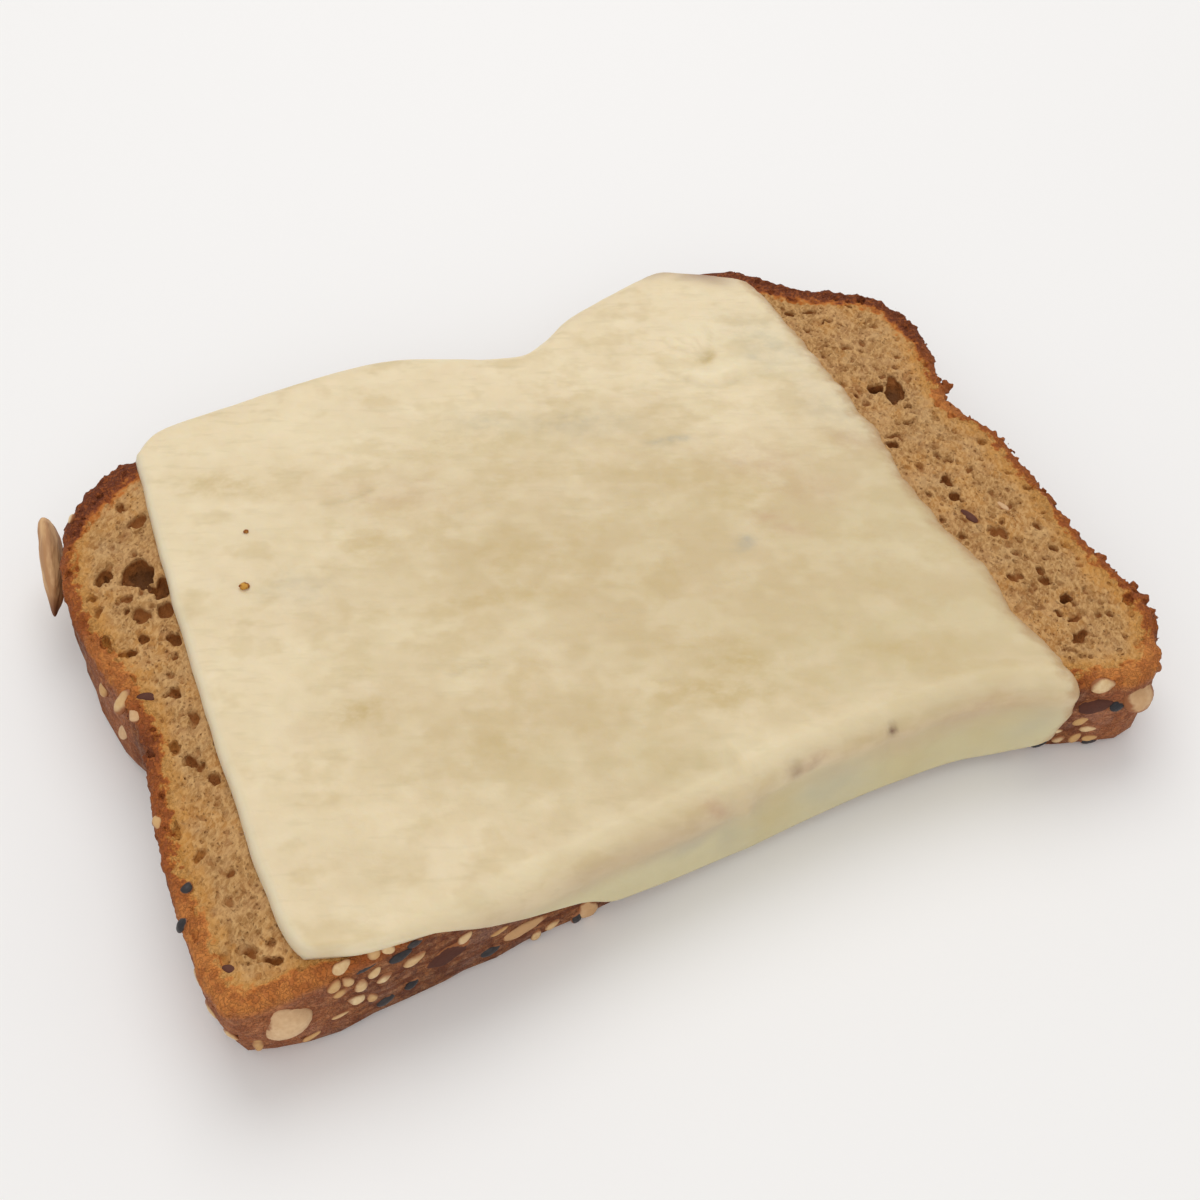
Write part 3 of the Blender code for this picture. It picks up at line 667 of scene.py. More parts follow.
def makeBread():
    field, axes = breadField()
    grid = openvdb.FloatGrid(3.0)
    grid.copyFromArray(np.ascontiguousarray(np.clip(field, -3.0, 3.0).astype(np.float32)))
    points, triangles, quads = grid.convertToPolygons(isovalue=0.0, adaptivity=bread["adaptivity"])
    points = points * bread["voxel"] + np.array([axis[0] for axis in axes])
    points[:, 2] = np.maximum(points[:, 2], 0.0)
    obj = meshFrom("breadSlice", points, triangles[:, ::-1], quads[:, ::-1])
    faces = 2 * len(quads) + len(triangles)
    print("bread surface:", faces, "triangles")
    thinOut(obj, bread["mostFaces"] / faces)
    p = pointsOf(obj)
    found, inside = nearestOnLoop(p[:, 0], p[:, 1])
    fromCrust = inside - loop[found, 2] * p[:, 2] / bread["thick"]
    below = bread["thick"] - p[:, 2]
    ringX, ringY = ringPlace(found)
    addValues(obj, {
        "fromCrust": fromCrust,
        # pit is the depth below the cut face, which the crumb colour turns into painted shade
        "pit": below,
        "onWall": ramp(below - 1.1 * np.clip(fromCrust, 0, 9), 0.3, 2.4),
        "bake": bakeAt(p[:, 0], p[:, 1]),
        "underside": ramp(-p[:, 2], -0.5, -0.15) * ramp(fromCrust, 0.5, 1.5),
        "ringX": ringX,
        "ringY": ringY,
    })
    return obj


def thinOut(obj, ratio):
    # fewer faces, taken from the crust and the underside before the cut face
    if ratio >= 1:
        return
    keep = ramp(pointsOf(obj)[:, 2], 9.5, 11.5)
    group = obj.vertex_groups.new(name="thin")
    for level in range(5):
        members = np.nonzero(np.round(keep * 4) == level)[0]
        group.add(members.tolist(), 1.0 - 0.85 * level / 4, "REPLACE")
    thin = obj.modifiers.new("thin", "DECIMATE")
    thin.ratio = ratio
    thin.vertex_group = group.name
    thin.vertex_group_factor = 1.0
    graph = bpy.context.evaluated_depsgraph_get()
    mesh = bpy.data.meshes.new_from_object(obj.evaluated_get(graph))
    obj.modifiers.clear()
    obj.vertex_groups.clear()
    obj.data = mesh
    mesh.name = obj.name
    mesh.shade_smooth()


def toastMaterial(mottle, grain, wrinkle):
    look = paints(bread["colours"])
    material, maker, shader = newMaterial("toastedBread", 0.85, 0.25)
    fromCrust, pit, onWall, bake = maker.attributes("fromCrust", "pit", "onWall", "bake")
    underside, ringX, ringY = maker.attributes("underside", "ringX", "ringY")
    spots = maker.mottles(mottle, bread["mottles"])
    mask = {name: outputs["Mask"] for name, outputs in spots.items()}
    speck, fibre, ragged = (spots[name]["Value"] for name in ("speck", "fibre", "ragged"))
    fine = maker.group(grain, Size=0.6, Stretch=1.5, Turn=math.radians(80), Pits=0.42)
    fold = maker.group(wrinkle, Ring_X=ringX, Ring_Y=ringY, Inside=fromCrust)
    crumb = maker.coats(look["crumb"], (
        (mask["golden"], 0.7, look["honey"]),
        (mask["pink"], 0.6, look["pink"]),
        (mask["ash"], 0.35, look["ash"]),
        (mask["shade"], 0.35, look["poreShadeBrown"]),
        (mask["speck"], 0.5, look["ridge"]),
        # painted shade: the little pits of the grain are painted darker brown
        (fine["Mask"], 0.8, look["poreShadeBrown"]),
        (mask["fibre"], 0.4, look["ridge"]),
        # painted shade: the crumb is painted browner the deeper it lies below the cut face, darkest in
        # the deep holes
        (maker.spread(pit, 0.35, 0.9), 1.0, look["poreShadeBrown"]),
        (maker.spread(pit, 1.1, 2.4), 1.0, look["deepPitShade"]),
    ))

    # the baked rim: golden, orange, rust, then dark, with ragged borders that follow the wrinkles;
    # where it is baked least it glows, wider and lighter
    light = maker.spread(bake, 0.22, 0.0)
    shift = maker.plus(maker.strayed(ragged, 4.4), maker.strayed(fold["Value"], 2.6))
    edge = maker.plus(fromCrust, shift)
    width = maker.plus(maker.times(bake, 2.3), maker.spread(light, 0.0, 1.0, 0.7, 1.8))
    depth = maker.math("DIVIDE", edge, width)
    rust = maker.coats(look["rust"], (
        (mask["crisp"], 0.3, look["orange"]),
        (light, maker.spread(mask["patches"], 1.0, 0.0, 0.45, 0.95), look["glow"]),
    ))
    dark = maker.coats(look["dark"], ((mask["crisp"], 0.6, look["rust"]),))
    rim = maker.coats(crumb, (
        (maker.spread(edge, 5.4, 2.0), 0.6, look["golden"]),
        (maker.spread(depth, 1.6, 1.25), 1.0, maker.mix(light, look["orange"], look["glow"])),
        (maker.spread(depth, 1.35, 1.0), 1.0, rust),
        (maker.spread(depth, 1.25, 0.95), maker.spread(bake, 0.3, 0.65, 0.1, 1.0), dark),
    ))
    wall = maker.coats(maker.mix(mask["patches"], look["wall"], look["wallDark"]), (
        (mask["mauve"], 0.6, look["mauve"]),
        (mask["flake"], 0.45, look["wallLight"]),
        (fold["Mask"], 0.6, look["dark"]),
        (light, 0.4, look["ember"]),
        (bake, 0.45, dark),
    ))
    under = maker.coats(look["underside"], (
        (mask["pink"], 0.5, look["orange"]),
        # painted shade: the little pits underneath are painted darker brown
        (fine["Mask"], 0.6, look["poreShadeBrown"]),
    ))
    maker.set(shader, "Base Color", maker.coats(rim, ((onWall, 1.0, wall), (underside, 1.0, under))))
    maker.set(shader, "Roughness", maker.spread(speck, 0.3, 0.7, 0.7, 0.95))

    height = maker.plus(maker.times(fine["Height"], 0.6), maker.times(speck, 0.9))
    height = maker.plus(height, maker.times(fibre, 0.7))
    crusty = maker.spread(fromCrust, 4.0, 1.5)
    calm = maker.math("SUBTRACT", 1.0, maker.times(maker.times(light, crusty), 0.6))
    crisp = maker.plus(maker.times(fold["Value"], 2.2), maker.times(mask["crisp"], 0.6))
    height = maker.plus(maker.times(height, calm), maker.times(crisp, crusty))
    bumpInto(maker, shader, height, 0.9, 0.0004)
    return material


cheese = {
    "thick": 2.0,
    "gap": 0.06,  # over the bread
    "edgeShare": 0.25,  # thickness left at the right edge
    "lipShare": 0.06,  # and at the others
    # how far in from each edge the cheese reaches its full thickness
    "edgeRound": {"left": 1.3, "right": 3.6, "back": 1.2, "front": 1.3},
    "across": 200,
    "along": 222,
    "hangSlope": 0.05,
    "leanShare": 0.75,
    "backSoft": 1.5,  # mm over which the back and the front edge are smoothed
    "frontSoft": 2.0,
    "wander": 0.32,  # how far the edges stray from their tables
    # (place along the slice, place across it) of the two side edges
    "left": (
        (50, -49.6), (43, -50.0), (18, -51.5), (-4, -52.3), (-30, -52.6), (-37, -52.3), (-40.5, -51.6),
        (-43, -50.0), (-46, -48.2),
    ),
    "right": (
        (49, 46.0), (45, 48.2), (41, 49.6), (36, 49.9), (18, 49.9), (2, 49.7), (-5.5, 48.2),
        (-18, 48.0), (-24.5, 49.2), (-34, 47.6), (-40, 48.9), (-46, 48.7), (-52, 48.0), (-58, 46.2),
    ),
    # (place across, length past the fold) at the back and at the front
    "backReach": (
        (-53, 0.2), (-50.5, 1.8), (-47, 3), (36, 3), (41, 1.0), (48, -3.8), (50, -6.0),
    ),
    "frontReach": (
        (-53, -1.8), (-51, -0.6), (-48, 0.8), (-39, 2), (-35, 3), (-29, 6), (-21, 8.6), (-17, 11.8),
        (-8, 13.2), (4, 14.2), (27, 13.5), (41, 13), (47, 11), (50, 9),
    ),
    "drawn": (0.914, 0.407),  # cosine and sine of the way the cheese was drawn out
    # lumps of the top, straight and drawn out: amount, cell, seed
    "lumps": ((0.26, 17.0, 51),),
    "drawnLumps": (
        (0.14, (9.0, 5.5, 1.0), 52), (0.08, (4.6, 2.9, 1.0), 53), (0.045, (2.2, 1.5, 1.0), 54),
    ),
    "rightWander": ((1.2, 5.0, 42), (0.9, 2.1, 43), (0.4, 1.1, 44)),
    # creases (below 0) and ridges (above 0) in the top: the points each runs through, width, height
    "creases": (
        (((29.0, 23.8), (31.2, 21.2), (33.2, 20.3), (35.6, 20.6)), 0.75, -0.26),
        (((28.2, 26.4), (28.8, 24.2)), 0.6, -0.12),
        (((34.6, 21.6), (37.6, 20.2), (40.6, 20.6)), 0.9, -0.12),
        (((31.0, 24.4), (33.4, 22.8), (36.4, 23.4)), 1.7, 0.34),
        (((25.8, 17.8), (26.6, 16.0), (28.1, 15.1)), 0.55, -0.12),
        (((27.6, 18.2), (29.0, 17.2)), 1.3, 0.2), (((33.7, 27.2), (34.4, 27.7)), 0.9, -0.3),
        (((32.6, 25.6), (33.5, 26.8)), 0.5, -0.12),
        (((33.0, 28.4), (30.4, 31.2), (29.4, 33.6)), 0.5, -0.13),
        (((33.4, 28.8), (32.0, 32.8)), 0.4, -0.1), (((34.3, 29.0), (33.9, 31.4)), 0.4, -0.12),
        (((35.2, 28.6), (36.9, 31.6), (37.2, 33.6)), 0.45, -0.13),
        (((32.6, 29.6), (31.0, 32.4)), 0.5, 0.14), (((33.9, 29.8), (33.0, 33.0)), 0.45, 0.1),
        (((35.6, 30.0), (35.4, 32.6)), 0.55, 0.12), (((36.6, 28.6), (39.4, 29.4)), 0.7, 0.14),
        (((31.0, 28.6), (28.6, 29.6)), 0.7, 0.12), (((24.3, 30.3), (25.8, 27.9)), 0.9, 0.12),
        (((-2.0, -12.6), (-0.9, -13.8), (0.7, -14.4)), 0.5, -0.12),
        (((-22.9, -13.2), (-20.4, -13.1), (-18.3, -13.6)), 0.5, -0.2),
        (((-28.7, 22.0), (-25.3, 21.5), (-21.5, 21.8)), 0.55, -0.22),
        (((-14.0, 12.0), (-10.0, 12.6), (-6.5, 11.6)), 0.6, -0.1),
        (((6.0, 6.0), (10.0, 6.8), (13.0, 5.6)), 0.6, -0.1),
        (((-38.0, -4.0), (-34.0, -4.2)), 0.7, -0.08), (((14.0, -14.0), (18.5, -14.6)), 0.6, -0.1),
    ),
    # pleats down the hanging front: x, width, height
    "pleats": (
        (3.4, 1.6, 0.5), (1.0, 1.8, -0.3), (8.0, 3.0, 0.16), (13.5, 2.5, -0.14), (19.0, 2.5, 0.12),
        (23.6, 0.9, -0.22), (26.5, 2.0, 0.2), (33.0, 3.0, -0.1), (39.0, 3.0, 0.12), (-9.0, 3.0, 0.14),
        (-15.0, 3.0, -0.12),
    ),
    # patches of another tint: x, y, length, width, turn in degrees, strength
    "spots": {
        "golden": (
            (10, -8, 76, 44, -28, 1.0), (36, -20, 54, 46, -40, 1.1), (-14, -28, 50, 24, -24, 0.75),
            (14, 16, 40, 22, -24, 0.5), (-40, -34, 24, 13, -24, 0.45),
        ),
        "olive": (
            (-34.9, -13.9, 6, 3, -24, 0.9), (6.1, -29.2, 15, 5, -24, 0.7),
            (11.1, -26.4, 11, 4, -30, 0.7), (9.3, -22.9, 14, 5, -20, 0.5),
            (-13.8, -3.9, 12, 4, -24, 0.5), (-6.4, 0.3, 16, 5, -24, 0.35), (-20, -26, 14, 5, -24, 0.35),
            (24, 0, 14, 5, -24, 0.3), (30.1, -33.5, 13, 4, -24, 0.6), (33.8, 27.0, 3.4, 2.2, 60, 0.9),
            (-41, 32, 9, 4, -24, 0.5), (-36, 28, 8, 3, -24, 0.4), (-4, 24, 18, 6, -24, 0.3),
            (-26, 12, 12, 4, -24, 0.3),
        ),
        "sage": (
            (30, -32, 46, 15, -12, 0.9), (40, -16, 20, 20, -50, 0.7), (-4, -36, 40, 8, -20, 0.6),
            (-6, 26, 26, 9, -24, 0.4), (42, 24, 14, 14, -60, 0.5), (14, 0, 16, 7, -24, 0.35),
            (-30, -6, 20, 7, -24, 0.3),
        ),
        "slate": (
            (21.1, 13.1, 4.5, 1.8, -20, 0.8), (21.3, -9.1, 2.4, 1.4, -10, 0.6),
            (40.6, 24.0, 4, 2.4, -30, 0.45), (-36, 9, 9, 4, -24, 0.25), (10, 22, 14, 4, -24, 0.3),
            (-2, 28, 8, 4, -24, 0.25), (-8.4, -44.2, 4, 1.6, -20, 0.6), (44, 26, 12, 7, -70, 0.3),
            (46, 8, 16, 6, -80, 0.25),
        ),
        "blush": (
            (26.9, -6.2, 4, 2, -20, 0.5), (27.7, -9.5, 4, 2, -20, 0.45), (30, 4, 10, 6, -40, 0.35),
            (34, -4, 8, 5, -30, 0.35), (44, 2, 6, 3, -60, 0.4), (-20, 20, 16, 6, -24, 0.25),
            (0.5, -42.5, 5, 1.6, -10, 0.9), (36.8, -43.2, 6, 2, -10, 0.7),
            (12.5, -41.6, 5, 1.4, -8, 0.6),
        ),
        "cream": (
            (35.5, 33.5, 6, 5, -60, 0.6), (36.2, 23.8, 4.4, 3.4, 80, 0.9),
            (27.4, 17.4, 3.4, 2.2, -60, 0.7), (-36, 20, 14, 7, -24, 0.35), (-10, -10, 12, 4, -24, 0.35),
            (-24, 4, 14, 5, -24, 0.35), (40, -20, 12, 6, -24, 0.3), (-27, 36, 16, 5, -24, 0.4),
        ),
        "drapeGold": (
            (7, -46.5, 8, 9, 0, 0.9), (27, -47, 9, 8, 0, 0.7), (37, -47, 7, 6, 0, 0.5),
            (-16, -44, 10, 3, 0, 0.5),
        ),
        "drapeGrey": (
            (16, -46, 8, 8, 0, 0.8), (-4, -44.5, 11, 4, 0, 0.9), (44, -48, 6, 6, 0, 0.6),
            (1.4, -47, 5, 8, 0, 0.6),
        ),
        "skin": (
            (44.0, 45.6, 9, 4.0, -34, 1.0), (47.8, 43.0, 5, 3.0, -40, 0.9),
            (38.5, 48.6, 8, 2.4, -10, 0.7),
        ),
        "speck": (
            (10.3, -41.4, 1.8, 1.2, 0, 0.45), (23.8, -41.2, 0.9, 0.7, 0, 1.0),
            (12.6, -41.5, 1.6, 0.8, 20, 0.25),
        ),
    },
    "colours": {
        "pale": (231, 212, 175), "golden": (205, 182, 138), "cream": (234, 219, 184),
        "pink": (221, 200, 166), "olive": (196, 170, 114), "sage": (215, 202, 162),
        "streak": (196, 176, 132), "slate": (168, 164, 150), "blush": (196, 156, 126),
        "creaseShade": (192, 172, 128), "skin": (142, 104, 88), "speck": (112, 72, 52),
        "lip": (226, 214, 186), "fold": (198, 172, 140), "hang": (209, 199, 158),
        "drapeGold": (203, 186, 138), "drapeGrey": (194, 185, 156), "throughBread": (186, 148, 104),
    },
    # size in mm, stretch, turn in degrees, low and high end of the mask, shift, detail
    "mottles": {
        "broad": (13.0, 1.25, 24, 0.3, 0.7, 0.0, 3.0),
        "cloud": (6.5, 1.2, 24, 0.44, 0.62, 0.4, 2.0),
        "pink": (8.0, 1.25, 24, 0.48, 0.64, 0.9, 2.0),
        "green": (5.0, 1.35, 24, 0.5, 0.66, 2.9, 3.0),
        "small": (2.4, 1.2, 24, 0.0, 1.0, 2.4, 3.0),
        "streak": (1.3, 4.5, 24, 0.52, 0.7, 7.1, 3.0),
        "tiny": (0.8, 1.3, 24, 0.0, 1.0, 4.2, 3.0),
    },
}
cheeseLeft = softTable(cheese["left"])
cheeseRight = softTable(cheese["right"])


def wallCurve(front, step=1.6):
    # (x, y) along the front or the back edge of the slice, as the cheese meets it
    side = loop[loop[:, 1] * (-1 if front else 1) > 30.0]
    xs = np.linspace(side[:, 0].min(), side[:, 0].max(), 160)
    order = np.argsort(side[:, 0])
    ys = np.interp(xs, side[order, 0], side[order, 1])
    outermost = np.min if front else np.max
    ys = np.array([outermost(ys[np.abs(xs - x) <= step]) for x in xs])
    if front:
        ys = ys + np.interp(xs, side[order, 0], side[order, 2]) * cheese["leanShare"]
    return softTable(list(zip(xs, ys)), 1.2)


def cheesePath(x, s, frontWall, backWall):
    # point and upward normal (across the folds) of the cheese's underside at x, s along the slice
    arc = bread["rimRound"] + cheese["gap"]
    quarter = arc * math.pi / 2
    centreZ = bread["thick"] - bread["rimRound"]
    foldFront = np.interp(x, *frontWall) + bread["rimRound"]
    foldBack = np.interp(x, *backWall) - bread["rimRound"]
    pastFront = np.maximum(foldFront - s, 0.0)
    pastBack = np.maximum(s - foldBack, 0.0)
    turnFront = np.minimum(pastFront / arc, math.pi / 2)
    turnBack = np.minimum(pastBack / arc, math.pi / 2)
    drop = np.maximum(pastFront - quarter, 0.0)
    out = np.sin(turnBack) - np.sin(turnFront)
    up = np.where(pastFront > 0, np.cos(turnFront), np.cos(turnBack))
    y = np.clip(s, foldFront, foldBack) + arc * out - cheese["hangSlope"] * drop
    z = centreZ + arc * up - drop
    return y, z, out, up, pastFront, pastBack


def makeCheese():
    frontWall, backWall = wallCurve(True), wallCurve(False)
    across, along = cheese["across"], cheese["along"]
    t = np.linspace(0, 1, across)
    u = (t - 0.012 * np.sin(2 * math.pi * t))[:, None]
    v = np.linspace(0, 1, along)[None, :]
    midX = cheese["left"][3][1] * (1 - u) + cheese["right"][3][1] * u
    foldBack = np.interp(midX, *backWall) - bread["rimRound"]
    foldFront = np.interp(midX, *frontWall) + bread["rimRound"]
    sBack = foldBack + np.interp(midX, *softTable(cheese["backReach"], cheese["backSoft"]))
    sFront = foldFront - np.interp(midX, *softTable(cheese["frontReach"], cheese["frontSoft"]))
    s = sBack * (1 - v) + sFront * v
    wave = np.stack([s, 0 * s + 3.0, 0 * s], axis=-1)
    left = np.interp(s, *cheeseLeft) + cheese["wander"] * 0.6 * smoothNoise(wave, 6.0, 41)
    right = np.interp(s, *cheeseRight) + cheese["wander"] * layered(wave, cheese["rightWander"])
    x = left * (1 - u) + right * u
    y, z, out, up, pastFront, pastBack = cheesePath(x, s, frontWall, backWall)
    fromEdge = {
        "left": x - left, "right": right - x, "back": np.abs(s - sBack), "front": np.abs(s - sFront),
    }
    swell = np.ones_like(x)
    for side, gap in fromEdge.items():
        edge = cheese["edgeRound"][side]
        rim = np.minimum(gap, edge) / edge
        swell = np.minimum(swell, np.sqrt(np.clip(1.0 - (1.0 - rim) ** 2, 0, 1)))
    lip = cheese["lipShare"]
    share = lip + (cheese["edgeShare"] - lip) * ramp(fromEdge["right"], 0.5, 4.0)
    thickness = cheese["thick"] * (share + (1 - share) * swell)
    drawnX, drawnY = cheese["drawn"]
    straight = np.stack([x, s, 0 * x], axis=-1)
    turned = np.stack([x * drawnX - s * drawnY, x * drawnY + s * drawnX, 0 * x], axis=-1)
    relief = layered(straight, cheese["lumps"]) + layered(turned, cheese["drawnLumps"])
    marks = creaseRelief(x, s)
    relief += marks + foldRelief(x, np.interp(x, *frontWall) + bread["rimRound"] - s)
    inner = np.minimum.reduce(list(fromEdge.values()))
    thickness = thickness + relief * ramp(inner, 0.3, 3.0)
    under = np.stack([x, y, z], axis=-1)
    over = np.stack([x, y + out * thickness, z + up * thickness], axis=-1)
    points = np.concatenate([over.reshape(-1, 3), under.reshape(-1, 3)])
    obj = meshFrom("cheeseSlice", points, sheetFaces(across, along))
    values = {
        "hang": pastFront, "backHang": pastBack, "toLeft": fromEdge["left"], "toRight": fromEdge["right"],
        # the creases of the top are painted darker as shade, and its ridges paler as highlight
        "toEdge": inner, "creaseShade": np.clip(-marks * 3.0, 0, 1), "ridge": np.clip(marks * 2.5, 0, 1),
    }
    for name, spots in cheese["spots"].items():
        values[name] = spotAmount(x, s, spots, 0.0 if name == "speck" else 1.6)
    addValues(obj, {name: np.tile(numbers.ravel(), 2) for name, numbers in values.items()})
    print("cheese surface:", 2 * len(obj.data.polygons), "triangles")
    return obj


def sheetFaces(across, along):
    # the faces of a closed sheet whose top points come first, then those underneath
    count = across * along
    index = np.arange(count).reshape(across, along)
    a, b, c, d = index[:-1, :-1], index[1:, :-1], index[1:, 1:], index[:-1, 1:]
    topFaces = np.stack([a, d, c, b], axis=-1).reshape(-1, 4)
    lowFaces = np.stack([a, b, c, d], axis=-1).reshape(-1, 4) + count
    rim = np.concatenate([index[:, 0], index[-1, 1:], index[-2::-1, -1], index[0, -2:0:-1]])
    after = np.roll(rim, -1)
    edgeFaces = np.stack([rim, after, after + count, rim + count], axis=-1)
    return np.concatenate([topFaces, lowFaces, edgeFaces])


def spotAmount(x, s, spots, stray):
    place = np.stack([x, s, 0 * x], axis=-1)
    shiftX, shiftY = (stray * smoothNoise(place, 4.0, seed) for seed in (61, 62))
    amount = np.zeros_like(x)
    for spotX, spotY, length, width, turn, strength in spots:
        u, v = alongTurn(x + shiftX - spotX, s + shiftY - spotY, math.radians(turn))
        far = (u / (length / 2)) ** 2 + (v / (width / 2)) ** 2
        amount = np.maximum(amount, strength * np.exp(-far * 0.7))
    return amount


def creaseRelief(x, s):
    place = np.stack([x, s, 0 * x], axis=-1)
    x = x + 0.5 * smoothNoise(place, 1.9, 63)
    s = s + 0.5 * smoothNoise(place, 1.9, 64)
    total = np.zeros_like(x)
    for path, width, height in cheese["creases"]:
        near = np.full_like(x, 1e9)
        for (ax, ay), (bx, by) in zip(path[:-1], path[1:]):
            run = (bx - ax) ** 2 + (by - ay) ** 2
            t = np.clip(((x - ax) * (bx - ax) + (s - ay) * (by - ay)) / run, 0, 1)
            near = np.minimum(near, (x - ax - t * (bx - ax)) ** 2 + (s - ay - t * (by - ay)) ** 2)
        total += height * np.exp(-near / width**2)
    return total


def foldRelief(x, past):
    # a soft crest along the front fold, a shaded line below it, and the pleats
    def wave(middle, width):
        return np.exp(-(((past - middle) / width) ** 2))
    crest = 0.32 * wave(0.7, 1.5) - 0.42 * wave(3.6, 1.2)
    shoulder = 0.4 * wave(3.4, 1.7) - 0.75 * wave(-0.2, 2.6)
    full = ramp(x, 2.6, 4.4)
    folds = sum(height * np.exp(-(((x - at) / width) ** 2)) for at, width, height in cheese["pleats"])
    edge = full * crest + (1 - full) * ramp(x, -34.0, -14.0) * shoulder
    return edge + folds * ramp(past, 0.6, 3.6) * (1 - 0.5 * ramp(past, 7.0, 13.0))


def cheeseMaterial(mottle):
    look = paints(cheese["colours"])
    material, maker, shader = newMaterial("meltedCheese", 0.42, 0.4)
    hang, backHang, ridge, creaseShade = maker.attributes("hang", "backHang", "ridge", "creaseShade")
    toEdge, toLeft, toRight = maker.attributes("toEdge", "toLeft", "toRight")
    spots = maker.mottles(mottle, cheese["mottles"])
    mask = {name: outputs["Mask"] for name, outputs in spots.items()}
    broad, small, tiny = (spots[name]["Value"] for name in ("broad", "small", "tiny"))
    spot = dict(zip(cheese["spots"], maker.attributes(*cheese["spots"])))
    amount = maker.plus(maker.plus(spot["golden"], maker.strayed(broad, 0.8)), maker.strayed(small, 0.35))
    # the patches are broken up by the finer mottles
    feather = maker.plus(
        maker.spread(small, 0.38, 0.62, 0.35, 0.85), maker.spread(tiny, 0.38, 0.62, 0.0, 0.2)
    )
    # the hanging front is tinted darker and greener: partly its own tint, partly painted shade and bounce
    # light
    hanging = maker.spread(hang, 2.4, 5.0)
    # painted shade: a band just under the crest of the front fold
    underCrestShade = maker.times(maker.spread(hang, 1.6, 3.2), maker.spread(hang, 8.0, 3.6))
    # painted highlight along the crest of the front fold
    crest = maker.times(maker.spread(hang, 0.0, 0.5), maker.spread(hang, 2.0, 1.2))
    ragged = maker.plus(toRight, maker.strayed(small, -4.5))
    colour = maker.coats(maker.mix(maker.spread(amount, -0.1, 0.9), look["pale"], look["golden"]), (
        (mask["cloud"], 0.24, look["cream"]),
        (mask["pink"], 0.18, look["pink"]),
        (mask["green"], 0.3, look["olive"]),
        (mask["streak"], 0.2, look["streak"]),
        (spot["sage"], maker.times(feather, 0.45), look["sage"]),
        (spot["olive"], feather, look["olive"]),
        (spot["slate"], maker.times(feather, 0.85), look["slate"]),
        (spot["blush"], maker.times(feather, 0.85), look["blush"]),
        (spot["cream"], maker.times(feather, 0.7), look["cream"]),
        # partly painted shade and bounce light on the hanging front
        (hanging, 0.8, look["hang"]),
        (hanging, spot["drapeGold"], look["drapeGold"]),
        (hanging, spot["drapeGrey"], look["drapeGrey"]),
        # painted shade: the band under the fold's crest is painted pinkish brown
        (underCrestShade, maker.spread(broad, 0.35, 0.6, 0.21, 0.56), look["fold"]),
        # painted highlight: the crest of the fold is painted paler
        (crest, 0.35, look["cream"]),
        # painted highlight: the ridges of the top are painted paler
        (ridge, 0.6, look["cream"]),
        # painted shade along the creases of the top
        (creaseShade, 0.45, look["creaseShade"]),
        (spot["skin"], 0.9, look["skin"]),
        (spot["speck"], 0.95, look["speck"]),
        # painted light: the thin edges, most of all the left one and the back edge that hangs over, are
        # painted paler for the light showing through them
        (maker.spread(toEdge, 1.3, 0.3), 0.2, look["lip"]),
        (maker.spread(toLeft, 1.9, 0.5), 0.6, look["lip"]),
        (maker.spread(backHang, 1.0, 3.0), 0.4, look["lip"]),
        (maker.spread(ragged, 3.2, 0.0), 0.85, look["throughBread"]),
    ))
    maker.set(shader, "Base Color", colour)
    maker.set(shader, "Roughness", maker.spread(small, 0.3, 0.7, 0.38, 0.54))
    maker.set(shader, "Subsurface Weight", 0.35)
    maker.set(shader, "Subsurface Radius", (1.0, 0.75, 0.4))
    maker.set(shader, "Subsurface Scale", 0.0016)
    bumpInto(maker, shader, maker.plus(maker.times(small, 0.8), maker.times(tiny, 0.2)), 0.16, 0.0007)
    return material


